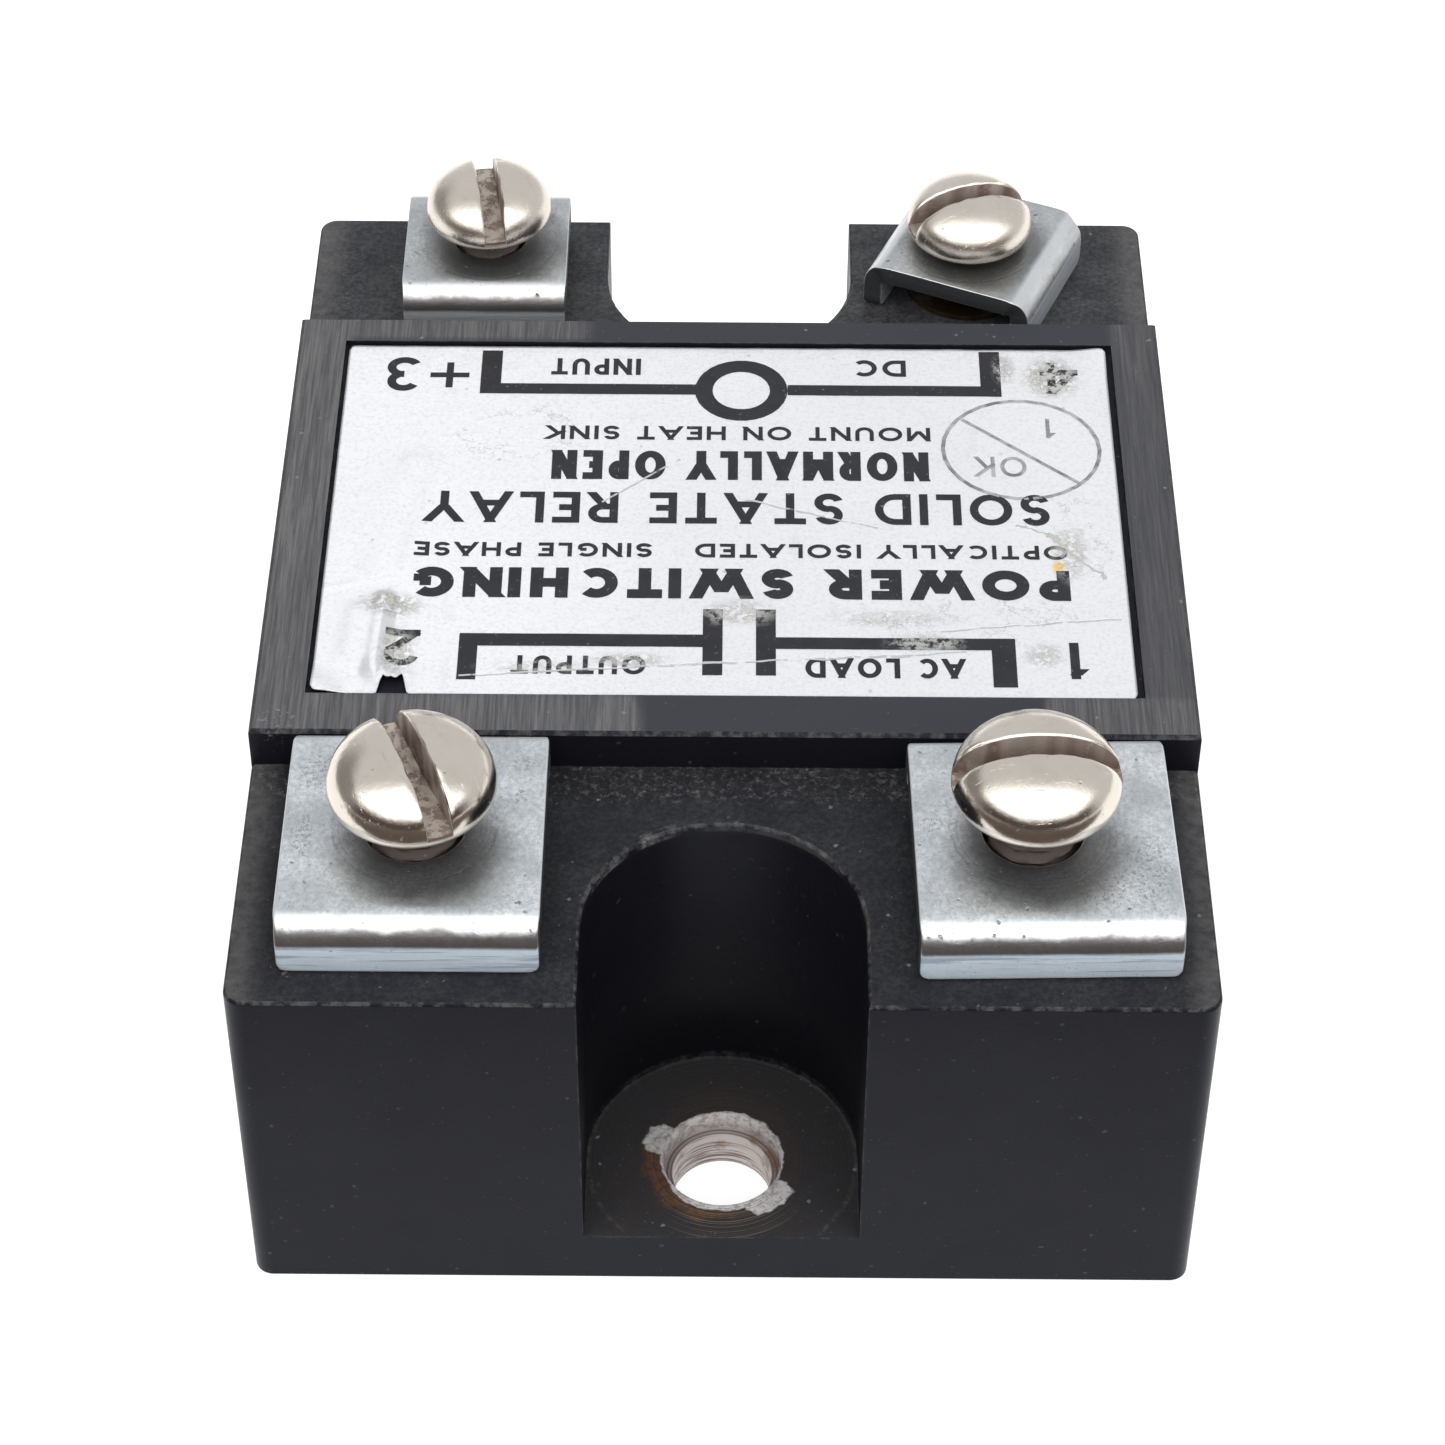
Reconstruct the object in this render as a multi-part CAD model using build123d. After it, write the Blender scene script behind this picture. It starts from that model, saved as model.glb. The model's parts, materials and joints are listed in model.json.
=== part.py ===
from build123d import *
import os

# Panel-mount solid state relay. Millimetres. +Z up, +Y towards the control terminals 3 and 4,
# +X towards terminals 1 and 4. The origin is the centre of the base plate's underside.

# ---------------------------------------------------------------- case
CASE_WIDTH = 44.5
CASE_LENGTH = 57.2
DECK_HEIGHT = 19.45
BLOCK_HEIGHT = 21.65
BLOCK_FRONT_Y = -13.6
BLOCK_BACK_Y = 17.25
CORNER_RADIUS = 0.9
TOP_EDGE_BREAK = 0.18
DECK_EDGE_RADIUS = 0.2
CASE_FOOT_Z = 0.1
SIDE_WALL = 2.0
DECK_WALL = 2.6
ROOF_WALL = 2.4
LABEL_RECESS_DEPTH = 0.33
LABEL_RECESS_X = 19.8
LABEL_RECESS_FRONT_Y = -11.0
LABEL_RECESS_BACK_Y = 15.35

# ---------------------------------------------------------------- mounting slots and base plate
MOUNT_SPACING = 47.6
MOUNT_HOLE_RADIUS = 2.4
SKIN_HOLE_RADIUS = 2.85
SLOT_WIDTH = 13.0
SLOT_FLOOR_Z = 3.1
SLOT_WALL = 1.8
PLATE_THICKNESS = 2.05
PLATE_RIM = 1.2
PLATE_PLAY = 0.05
PLATE_CORNER_RADIUS = 0.6

# ---------------------------------------------------------------- label
LABEL_WIDTH = 38.8
LABEL_LENGTH = 25.95
LABEL_THICKNESS = 0.12
LABEL_CENTRE_Y = 2.13
LABEL_CORNER_RADIUS = 0.4

# ---------------------------------------------------------------- screws
THREAD_PITCH = 25.4 / 32
THREAD_DEPTH = 0.38
THREAD_START_Z = -0.3
SHANK_ROOT_Z = 0.5
SCREW_POINT_LENGTH = 0.7
SCREW_POINT_TAPER = 0.5
HEAD_WIDEST_SHARE = 0.2  # of the head's height, where the head is widest
HEAD_TUCK_SHARE = 0.11  # of the head's radius, taken in under its widest line
POWER_SCREW = {
    "head_radius": 3.85,
    "head_height": 3.05,
    "thread_radius": 2.05,
    "length": 9.5,
    "slot_width": 1.15,
    "slot_depth": 2.3,
}
CONTROL_SCREW = {
    "head_radius": 3.27,
    "head_height": 2.6,
    "thread_radius": 1.72,
    "length": 7.9,
    "slot_width": 1.05,
    "slot_depth": 1.95,
}

# ---------------------------------------------------------------- clamp plates
CLAMP_THICKNESS = 1.0
CLAMP_HEIGHT = 2.92
CLAMP_BEND_RADIUS = 1.45
CLAMP_FOOT_RADIUS = 0.5
POWER_CLAMP = {"across": 13.0, "along": 11.9, "hole_radius": 2.7}
CONTROL_CLAMP = {"across": 9.3, "along": 8.6, "hole_radius": 2.2}

# ---------------------------------------------------------------- threaded inserts
INSERT_PAD_HEIGHT = 0.3
INSERT_BOTTOM_Z = 9.5
INSERT_TAIL_Z = 8.7
INSERT_TAIL_RADIUS = 1.2
INSERT_GROOVE_DEPTH = 0.35
INSERT_GROOVE_Z = (12.5, 17.05)
INSERT_BORE_DEPTH = 8.6
BORE_CLEARANCE = 0.05
BOSS_Z = (10.5, 18.45)
BOSS_WALL = 1.6
POWER_INSERT = {"pad_radius": 4.3, "body_radius": 3.3}
CONTROL_INSERT = {"pad_radius": 3.3, "body_radius": 2.8}

# ---------------------------------------------------------------- terminals
POWER_SCREW_X = 14.0
POWER_SCREW_Y = -20.3
CONTROL_SCREW_X = 12.7
CONTROL_SCREW_Y = 23.4
# Where each screw stands, how high its head is, how its slot lies, and how its clamp plate lies
TERMINALS = {
    1: {
        "x": POWER_SCREW_X,
        "y": POWER_SCREW_Y,
        "head_z": 24.75,
        "slot_deg": 2.5,
        "clamp_x": 14.5,
        "clamp_y": -20.36,
        "clamp_deg": 91.3,
        "power": True,
    },
    2: {
        "x": -POWER_SCREW_X,
        "y": POWER_SCREW_Y,
        "head_z": 24.45,
        "slot_deg": -67.0,
        "clamp_x": -14.05,
        "clamp_y": -20.25,
        "clamp_deg": 90.0,
        "power": True,
    },
    3: {
        "x": -CONTROL_SCREW_X,
        "y": CONTROL_SCREW_Y,
        "head_z": 23.7,
        "slot_deg": -81.0,
        "clamp_x": -12.85,
        "clamp_y": 23.15,
        "clamp_deg": 90.0,
        "power": False,
    },
    4: {
        "x": CONTROL_SCREW_X,
        "y": CONTROL_SCREW_Y,
        "head_z": 22.95,
        "slot_deg": 17.8,
        "clamp_x": 13.02,
        "clamp_y": 23.4,
        "clamp_deg": -23.3,
        "power": False,
    },
}

# ---------------------------------------------------------------- power section
CERAMIC_X = 17.0
CERAMIC_FRONT_Y = -10.0
CERAMIC_BACK_Y = 6.0
CERAMIC_THICKNESS = 0.63
SPREADER_INNER_X = 1.0
SPREADER_OUTER_X = 16.0
SPREADER_FRONT_Y = -9.0
SPREADER_BACK_Y = 5.0
SPREADER_THICKNESS = 1.0
CHIP_SIDE = 6.5
CHIP_THICKNESS = 0.4
CHIP_X = 6.0
CHIP_Y = -1.0
STRAP_THICKNESS = 0.8
STRAP_WIDTH = 3.5
STRAP_FOOT_END_Y = -5.5
STRAP_DROP_Y = -9.5
STRAP_PAST_TAIL = 2.0
JUMPER_WIDTH = 2.0
JUMPER_RISE_Z = 5.2
JUMPER_FOOT_X = 10.5
JUMPER_FOOT_LENGTH = 2.5
JUMPER_PAD_X = 4.5
JUMPER_PAD_LENGTH = 3.0
JUMPER_1_Y = 1.0
JUMPER_2_Y = -2.5
GATE_WIRE_RADIUS = 0.3
GATE_PLACES = ((8.6, -3.6), (-8.6, 1.6))
OUTPUT_PIN_RADIUS = 0.5
OUTPUT_PIN_X = 14.8
OUTPUT_PIN_Y = 3.6
CONTROL_LEAD_WIDTH = 1.2
CONTROL_LEAD_END_Y = 12.0
CONTROL_LEAD_PAST_TAIL = 1.0

# ---------------------------------------------------------------- circuit board and its parts
BOARD_X = 18.0
BOARD_FRONT_Y = -9.5
BOARD_BACK_Y = 13.5
BOARD_BOTTOM_Z = 11.0
BOARD_THICKNESS = 1.2
WIRE_RADIUS = 0.3
# Resistors and diodes that lie on the board
AXIAL_LIFT = 0.2
AXIAL_LEAD_REACH = 1.2
AXIAL_END_ROUNDING_SHARE = 0.3
INPUT_RESISTOR = {"radius": 1.6, "length": 6.3, "place": (8.5, 10.8), "turn_deg": 0}
INPUT_DIODE = {"radius": 1.3, "length": 4.5, "place": (8.5, 6.5), "turn_deg": 0}
SNUBBER_RESISTOR = {"radius": 1.4, "length": 7.0, "place": (16.2, 0.0), "turn_deg": 90}
GATE_RESISTOR = {"radius": 1.2, "length": 6.3, "turn_deg": 90}
GATE_RESISTOR_PLACES = ((-4.5, -4.0), (-8.0, -4.0))
BRIDGE_DIODE = {"radius": 1.2, "length": 4.2, "turn_deg": 90}
BRIDGE_DIODE_FIRST_X = 1.5
BRIDGE_DIODE_SPACING = 3.2
BRIDGE_DIODE_Y = -5.5
# Small three-legged transistors with one flat side
TO92_RADIUS = 2.3
TO92_HEIGHT = 4.6
TO92_FLAT_Y = 1.3
TO92_STAND_OFF = 1.2
TO92_LEG_SPACING = 1.27
TO92_LEG_SIDE = 0.5
CURRENT_LIMIT_PLACE = (-11.5, 10.4)
TRIGGER_PLACE = (-11.5, 3.0)
ZERO_CROSS_PLACE = (-15.6, 6.7)
# Six-pin optocoupler
DIP_PLACE = (-3.5, 7.5)
DIP_WIDTH = 6.5
DIP_LENGTH = 8.9
DIP_HEIGHT = 3.4
DIP_STAND_OFF = 0.4
DIP_PITCH = 2.54
DIP_ROW_HALF = 3.81
DIP_LEG_THICKNESS = 0.3
DIP_SHOULDER_WIDTH = 0.8
DIP_LEG_WIDTH = 0.6
# Film capacitor
CAPACITOR_SIZE = (10.0, 4.5, 6.0)
CAPACITOR_PLACE = (8.5, 1.0)
CAPACITOR_STAND_OFF = 0.3
CAPACITOR_CORNER_RADIUS = 0.6
CAPACITOR_LEG_SPACING = 7.5

# Levels and places worked out from the sizes above
CERAMIC_TOP_Z = PLATE_THICKNESS + CERAMIC_THICKNESS
SPREADER_TOP_Z = CERAMIC_TOP_Z + SPREADER_THICKNESS
CHIP_TOP_Z = SPREADER_TOP_Z + CHIP_THICKNESS
BOARD_TOP_Z = BOARD_BOTTOM_Z + BOARD_THICKNESS
HALF_WIDTH = CASE_WIDTH / 2
HALF_LENGTH = CASE_LENGTH / 2
SLOT_RADIUS = SLOT_WIDTH / 2
MOUNT_Y = MOUNT_SPACING / 2
LABEL_FLOOR_Z = BLOCK_HEIGHT - LABEL_RECESS_DEPTH
PAD_TOP_Z = DECK_HEIGHT + INSERT_PAD_HEIGHT
# Cutting shapes reach this far past the faces that they cut
CLEAR = 1.0


def block(x_ends, y_ends, z_ends):
    """A box between two places along each axis, in either order."""
    spans = [sorted(ends) for ends in (x_ends, y_ends, z_ends)]
    centre = [(low + high) / 2 for low, high in spans]
    sides = [high - low for low, high in spans]
    return Pos(*centre) * Box(*sides)


def rod(radius, z_ends, x=0.0, y=0.0):
    """An upright cylinder."""
    low, high = z_ends
    return Pos(x, y, (low + high) / 2) * Cylinder(radius, high - low)


def turned(points):
    """A solid of revolution about Z from an outline of (radius, height) points."""
    outline = Plane.XZ * make_face(Polyline(*points, close=True))
    return revolve(outline, Axis.Z)


def bent_strip(plane, points, width):
    """A strip of metal seen edge on as an outline in a plane, centred on that plane."""
    outline = plane * make_face(Polyline(*points, close=True))
    return extrude(outline, width / 2, both=True)


def slot_prism(side, half_width, z_ends):
    """A U-shaped prism round one mounting hole, open past the end face. side is -1 or +1."""
    hub = rod(half_width, z_ends, 0, side * MOUNT_Y)
    run = block((-half_width, half_width), (side * MOUNT_Y, side * (HALF_LENGTH + CLEAR)), z_ends)
    return hub + run


def insert_sizes(terminal):
    """The insert sizes of a terminal."""
    return POWER_INSERT if terminal["power"] else CONTROL_INSERT


def screw_sizes(terminal):
    """The screw sizes of a terminal."""
    return POWER_SCREW if terminal["power"] else CONTROL_SCREW


# ---------------------------------------------------------------- case and base
def insert_blank(terminal):
    """The room that a threaded insert takes up in the case, with its bore filled."""
    pad = insert_sizes(terminal)["pad_radius"]
    body = insert_sizes(terminal)["body_radius"]
    waist = body - INSERT_GROOVE_DEPTH
    groove_bottom, groove_top = INSERT_GROOVE_Z
    outline = [
        (0, INSERT_TAIL_Z),
        (INSERT_TAIL_RADIUS, INSERT_TAIL_Z),
        (INSERT_TAIL_RADIUS, INSERT_BOTTOM_Z),
        (body, INSERT_BOTTOM_Z),
        (body, groove_bottom),
        (waist, groove_bottom),
        (waist, groove_top),
        (body, groove_top),
        (body, DECK_HEIGHT),
        (pad, DECK_HEIGHT),
        (pad, PAD_TOP_Z),
        (0, PAD_TOP_Z),
    ]
    return Pos(terminal["x"], terminal["y"], 0) * turned(outline)


def insert_boss(terminal):
    """The plastic boss that grips a threaded insert under the deck."""
    radius = insert_sizes(terminal)["body_radius"] + BOSS_WALL
    return rod(radius, BOSS_Z, terminal["x"], terminal["y"])


def cavity():
    """The room inside the case for the electronics, clear of the walls round the mounting slots."""
    x_ends = (SIDE_WALL - HALF_WIDTH, HALF_WIDTH - SIDE_WALL)
    y_ends = (SIDE_WALL - HALF_LENGTH, HALF_LENGTH - SIDE_WALL)
    block_ends = (BLOCK_FRONT_Y + SIDE_WALL, BLOCK_BACK_Y - SIDE_WALL)
    room = block(x_ends, y_ends, (PLATE_THICKNESS, DECK_HEIGHT - DECK_WALL))
    room += block(x_ends, block_ends, (PLATE_THICKNESS, BLOCK_HEIGHT - ROOF_WALL))
    for side in (-1, 1):
        room -= slot_prism(side, SLOT_RADIUS + SLOT_WALL, (0, BLOCK_HEIGHT))
    return room


def terminal_decks():
    """The case up to its terminal decks, solid, with both mounting slots and rounded deck edges."""
    body = block((-HALF_WIDTH, HALF_WIDTH), (-HALF_LENGTH, HALF_LENGTH), (CASE_FOOT_Z, DECK_HEIGHT))
    body = fillet(body.edges().filter_by(Axis.Z), CORNER_RADIUS)
    for side in (-1, 1):
        body -= slot_prism(side, SLOT_RADIUS, (SLOT_FLOOR_Z, DECK_HEIGHT + CLEAR))
    deck_edges = body.faces().sort_by(Axis.Z)[-1].edges()
    return fillet(deck_edges, DECK_EDGE_RADIUS)


def centre_block():
    """The raised block between the decks, with its top edges broken and the recess for the label."""
    body = block((-HALF_WIDTH, HALF_WIDTH), (BLOCK_FRONT_Y, BLOCK_BACK_Y), (CASE_FOOT_Z, BLOCK_HEIGHT))
    body = chamfer(body.faces().sort_by(Axis.Z)[-1].edges(), TOP_EDGE_BREAK)
    recess = block(
        (-LABEL_RECESS_X, LABEL_RECESS_X),
        (LABEL_RECESS_FRONT_Y, LABEL_RECESS_BACK_Y),
        (LABEL_FLOOR_Z, BLOCK_HEIGHT + CLEAR),
    )
    return body - recess


def housing():
    """Moulded phenolic case: a raised centre block between two terminal decks, open underneath."""
    body = terminal_decks() + centre_block()
    for side in (-1, 1):
        body -= rod(SKIN_HOLE_RADIUS, (0, SLOT_FLOOR_Z + CLEAR), 0, side * MOUNT_Y)
    inner_x = HALF_WIDTH - PLATE_RIM
    inner_y = HALF_LENGTH - PLATE_RIM
    body -= block((-inner_x, inner_x), (-inner_y, inner_y), (0, PLATE_THICKNESS))
    body -= cavity()
    for terminal in TERMINALS.values():
        body += insert_boss(terminal)
    for terminal in TERMINALS.values():
        body -= insert_blank(terminal)
    return body


def base_plate():
    """Aluminium plate that closes the case underneath and carries the heat away."""
    x = HALF_WIDTH - PLATE_RIM - PLATE_PLAY
    y = HALF_LENGTH - PLATE_RIM - PLATE_PLAY
    plate = block((-x, x), (-y, y), (0, PLATE_THICKNESS))
    plate = fillet(plate.edges().filter_by(Axis.Z), PLATE_CORNER_RADIUS)
    for side in (-1, 1):
        plate -= rod(MOUNT_HOLE_RADIUS, (-CLEAR, PLATE_THICKNESS + CLEAR), 0, side * MOUNT_Y)
    return plate


def rating_label():
    """Thin foil plate that lies in the recess on top of the block."""
    foil = block(
        (-LABEL_WIDTH / 2, LABEL_WIDTH / 2),
        (LABEL_CENTRE_Y - LABEL_LENGTH / 2, LABEL_CENTRE_Y + LABEL_LENGTH / 2),
        (LABEL_FLOOR_Z, LABEL_FLOOR_Z + LABEL_THICKNESS),
    )
    return fillet(foil.edges().filter_by(Axis.Z), LABEL_CORNER_RADIUS)


# ---------------------------------------------------------------- terminals
def terminal_insert(terminal):
    """Brass insert moulded into the deck: contact pad, grooved body, blind bore and solder tail."""
    bore = screw_sizes(terminal)["thread_radius"] + BORE_CLEARANCE
    bore_ends = (PAD_TOP_Z - INSERT_BORE_DEPTH, PAD_TOP_Z + CLEAR)
    return insert_blank(terminal) - rod(bore, bore_ends, terminal["x"], terminal["y"])


def thread_outline(radius, start_z, end_z):
    """The saw-tooth edge of a thread, from start_z down to end_z, as (radius, height) points."""
    points = []
    turns = int((start_z - end_z) / THREAD_PITCH)
    for turn in range(turns):
        crest = start_z - turn * THREAD_PITCH
        points.append((radius, crest))
        points.append((radius - THREAD_DEPTH, crest - THREAD_PITCH / 2))
    points.append((radius, start_z - turns * THREAD_PITCH))
    return points


def screw_head(sizes):
    """A round head on its seat at Z 0: an oval dome over an underside that is rounded in."""
    radius = sizes["head_radius"]
    height = sizes["head_height"]
    widest_z = HEAD_WIDEST_SHARE * height
    tuck = HEAD_TUCK_SHARE * radius
    underside = EllipticalCenterArc((radius - tuck, widest_z), tuck, widest_z, -90, arc_size=90)
    dome = EllipticalCenterArc((0, widest_z), radius, height - widest_z, 0, arc_size=90)
    inside = Polyline((0, height), (0, 0), (radius - tuck, 0))
    outline = Plane.XZ * make_face([underside, dome, inside])
    return revolve(outline, Axis.Z)


def terminal_screw(terminal):
    """Slotted round-head machine screw, standing in its terminal."""
    sizes = screw_sizes(terminal)
    radius = sizes["thread_radius"]
    root = radius - THREAD_DEPTH
    tip_z = -sizes["length"]
    point_z = tip_z + SCREW_POINT_LENGTH
    shank = turned(
        [
            (0, SHANK_ROOT_Z),
            (radius, SHANK_ROOT_Z),
            *thread_outline(radius, THREAD_START_Z, point_z),
            (root, point_z),
            (root - SCREW_POINT_TAPER, tip_z),
            (0, tip_z),
        ]
    )
    reach = sizes["head_radius"] + CLEAR
    half_slot = sizes["slot_width"] / 2
    top = sizes["head_height"]
    slot = block((-reach, reach), (-half_slot, half_slot), (top - sizes["slot_depth"], top + CLEAR))
    screw = screw_head(sizes) + shank - Rot(0, 0, terminal["slot_deg"]) * slot
    return Pos(terminal["x"], terminal["y"], terminal["head_z"]) * screw


def clamp_plate(terminal):
    """Zinc-plated channel with both flanges bent down, loose on its screw, standing on the deck."""
    sizes = POWER_CLAMP if terminal["power"] else CONTROL_CLAMP
    half_across = sizes["across"] / 2
    half_along = sizes["along"] / 2
    channel = block((-half_across, half_across), (-half_along, half_along), (0, CLAMP_HEIGHT))
    top_bends = channel.edges().filter_by(Axis.Y).group_by(Axis.Z)[-1]
    channel = fillet(top_bends, CLAMP_BEND_RADIUS)
    inner_x = half_across - CLAMP_THICKNESS
    channel -= block(
        (-inner_x, inner_x),
        (-half_along - CLEAR, half_along + CLEAR),
        (-CLEAR, CLAMP_HEIGHT - CLAMP_THICKNESS),
    )
    feet = channel.edges().filter_by(Axis.X).group_by(Axis.Z)[0]
    channel = fillet(feet, CLAMP_FOOT_RADIUS)
    channel -= rod(sizes["hole_radius"], (0, CLAMP_HEIGHT + CLEAR))
    place = Pos(terminal["clamp_x"], terminal["clamp_y"], DECK_HEIGHT)
    return place * Rot(0, 0, terminal["clamp_deg"]) * channel


# ---------------------------------------------------------------- power section
def ceramic_insulator():
    """Alumina tile between the live copper and the base plate."""
    return block(
        (-CERAMIC_X, CERAMIC_X), (CERAMIC_FRONT_Y, CERAMIC_BACK_Y), (PLATE_THICKNESS, CERAMIC_TOP_Z)
    )


def heat_spreader(side):
    """Copper pad under one thyristor chip. side is -1 or +1."""
    return block(
        (side * SPREADER_INNER_X, side * SPREADER_OUTER_X),
        (SPREADER_FRONT_Y, SPREADER_BACK_Y),
        (CERAMIC_TOP_Z, SPREADER_TOP_Z),
    )


def thyristor_chip(side):
    """Bare thyristor chip, soldered to its copper pad."""
    x = side * CHIP_X
    half = CHIP_SIDE / 2
    return block((x - half, x + half), (CHIP_Y - half, CHIP_Y + half), (SPREADER_TOP_Z, CHIP_TOP_Z))


def cathode_jumper(side, y):
    """Copper bridge from one pad over its own chip to the top of the other chip."""
    foot_outer = JUMPER_FOOT_X + JUMPER_FOOT_LENGTH
    pad_outer = -(JUMPER_PAD_X + JUMPER_PAD_LENGTH)
    top_z = JUMPER_RISE_Z + STRAP_THICKNESS
    outline = [
        (foot_outer, SPREADER_TOP_Z),
        (foot_outer, SPREADER_TOP_Z + STRAP_THICKNESS),
        (JUMPER_FOOT_X + STRAP_THICKNESS, SPREADER_TOP_Z + STRAP_THICKNESS),
        (JUMPER_FOOT_X + STRAP_THICKNESS, top_z),
        (-JUMPER_PAD_X, top_z),
        (-JUMPER_PAD_X, CHIP_TOP_Z + STRAP_THICKNESS),
        (pad_outer, CHIP_TOP_Z + STRAP_THICKNESS),
        (pad_outer, CHIP_TOP_Z),
        (-JUMPER_PAD_X + STRAP_THICKNESS, CHIP_TOP_Z),
        (-JUMPER_PAD_X + STRAP_THICKNESS, JUMPER_RISE_Z),
        (JUMPER_FOOT_X, JUMPER_RISE_Z),
        (JUMPER_FOOT_X, SPREADER_TOP_Z),
    ]
    mirrored = [(side * x, z) for x, z in outline]
    return Pos(0, y, 0) * bent_strip(Plane.XZ, mirrored, JUMPER_WIDTH)


def main_lead(side):
    """Copper strap from a power insert down to its pad."""
    start = POWER_SCREW_Y - STRAP_PAST_TAIL
    outline = [
        (start, INSERT_TAIL_Z),
        (STRAP_DROP_Y, INSERT_TAIL_Z),
        (STRAP_DROP_Y, SPREADER_TOP_Z + STRAP_THICKNESS),
        (STRAP_FOOT_END_Y, SPREADER_TOP_Z + STRAP_THICKNESS),
        (STRAP_FOOT_END_Y, SPREADER_TOP_Z),
        (STRAP_DROP_Y - STRAP_THICKNESS, SPREADER_TOP_Z),
        (STRAP_DROP_Y - STRAP_THICKNESS, INSERT_TAIL_Z - STRAP_THICKNESS),
        (start, INSERT_TAIL_Z - STRAP_THICKNESS),
    ]
    return Pos(side * POWER_SCREW_X, 0, 0) * bent_strip(Plane.YZ, outline, STRAP_WIDTH)


def control_lead(side):
    """Narrow strap from a control insert to the underside of the circuit board."""
    start = CONTROL_SCREW_Y + CONTROL_LEAD_PAST_TAIL
    outline = [
        (start, INSERT_TAIL_Z),
        (CONTROL_LEAD_END_Y + STRAP_THICKNESS, INSERT_TAIL_Z),
        (CONTROL_LEAD_END_Y + STRAP_THICKNESS, BOARD_BOTTOM_Z),
        (CONTROL_LEAD_END_Y, BOARD_BOTTOM_Z),
        (CONTROL_LEAD_END_Y, INSERT_TAIL_Z - STRAP_THICKNESS),
        (start, INSERT_TAIL_Z - STRAP_THICKNESS),
    ]
    return Pos(side * CONTROL_SCREW_X, 0, 0) * bent_strip(Plane.YZ, outline, CONTROL_LEAD_WIDTH)


def gate_leads():
    """Two wires from the board down to the gates of the chips."""
    ends = (CHIP_TOP_Z, BOARD_BOTTOM_Z)
    return Compound(children=[rod(GATE_WIRE_RADIUS, ends, x, y) for x, y in GATE_PLACES])


def output_pins():
    """Two pins that take the load voltage from the copper pads up to the board."""
    ends = (SPREADER_TOP_Z, BOARD_BOTTOM_Z)
    places = (-OUTPUT_PIN_X, OUTPUT_PIN_X)
    return Compound(children=[rod(OUTPUT_PIN_RADIUS, ends, x, OUTPUT_PIN_Y) for x in places])


# ---------------------------------------------------------------- circuit board
def circuit_board():
    """Glass-epoxy board above the power section."""
    return block((-BOARD_X, BOARD_X), (BOARD_FRONT_Y, BOARD_BACK_Y), (BOARD_BOTTOM_Z, BOARD_TOP_Z))


def axial_part(radius, length, place, turn_deg):
    """A resistor or diode lying on the board, with a lead bent down at each end."""
    lead_x = length / 2 + AXIAL_LEAD_REACH
    centre_z = BOARD_TOP_Z + radius + AXIAL_LIFT
    body = Rot(0, 90, 0) * Cylinder(radius, length)
    body = fillet(body.edges(), radius * AXIAL_END_ROUNDING_SHARE)
    wire = Rot(0, 90, 0) * Cylinder(WIRE_RADIUS, 2 * lead_x)
    part = Pos(0, 0, centre_z) * (body + wire)
    for x in (-lead_x, lead_x):
        part += rod(WIRE_RADIUS, (BOARD_TOP_Z, centre_z), x)
        part += Pos(x, 0, centre_z) * Sphere(WIRE_RADIUS)
    return Pos(*place, 0) * Rot(0, 0, turn_deg) * part


def to92_part(place, turn_deg):
    """A small three-legged transistor or thyristor with one flat side."""
    base_z = BOARD_TOP_Z + TO92_STAND_OFF
    body = rod(TO92_RADIUS, (base_z, base_z + TO92_HEIGHT))
    reach = TO92_RADIUS + CLEAR
    body -= block((-reach, reach), (TO92_FLAT_Y, reach), (base_z - CLEAR, base_z + TO92_HEIGHT + CLEAR))
    half = TO92_LEG_SIDE / 2
    for leg in (-1, 0, 1):
        x = leg * TO92_LEG_SPACING
        body += block((x - half, x + half), (-half, half), (BOARD_TOP_Z, base_z + half))
    return Pos(*place, 0) * Rot(0, 0, turn_deg) * body


def optocoupler():
    """Six-pin optocoupler that keeps the control side apart from the load side."""
    base_z = BOARD_TOP_Z + DIP_STAND_OFF
    body = block(
        (-DIP_LENGTH / 2, DIP_LENGTH / 2), (-DIP_WIDTH / 2, DIP_WIDTH / 2), (base_z, base_z + DIP_HEIGHT)
    )
    shoulder_z = base_z + DIP_HEIGHT / 2
    shoulder_top = shoulder_z + DIP_LEG_THICKNESS
    half_shoulder = DIP_SHOULDER_WIDTH / 2
    half_leg = DIP_LEG_WIDTH / 2
    for side in (-1, 1):
        outer_y = side * (DIP_ROW_HALF + DIP_LEG_THICKNESS / 2)
        inner_y = side * (DIP_ROW_HALF - DIP_LEG_THICKNESS / 2)
        wall_y = side * DIP_WIDTH / 2
        for pin in (-1, 0, 1):
            x = pin * DIP_PITCH
            shoulder_x = (x - half_shoulder, x + half_shoulder)
            leg_x = (x - half_leg, x + half_leg)
            body += block(shoulder_x, (wall_y, outer_y), (shoulder_z, shoulder_top))
            body += block(leg_x, (inner_y, outer_y), (BOARD_TOP_Z, shoulder_top))
    return Pos(*DIP_PLACE, 0) * body


def snubber_capacitor():
    """Film capacitor of the snubber across the load terminals."""
    width, depth, height = CAPACITOR_SIZE
    base_z = BOARD_TOP_Z + CAPACITOR_STAND_OFF
    body = block((-width / 2, width / 2), (-depth / 2, depth / 2), (base_z, base_z + height))
    body = fillet(body.edges().filter_by(Axis.Z), CAPACITOR_CORNER_RADIUS)
    for x in (-CAPACITOR_LEG_SPACING / 2, CAPACITOR_LEG_SPACING / 2):
        body += rod(WIRE_RADIUS, (BOARD_TOP_Z, base_z + WIRE_RADIUS), x)
    return Pos(*CAPACITOR_PLACE, 0) * body


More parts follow.
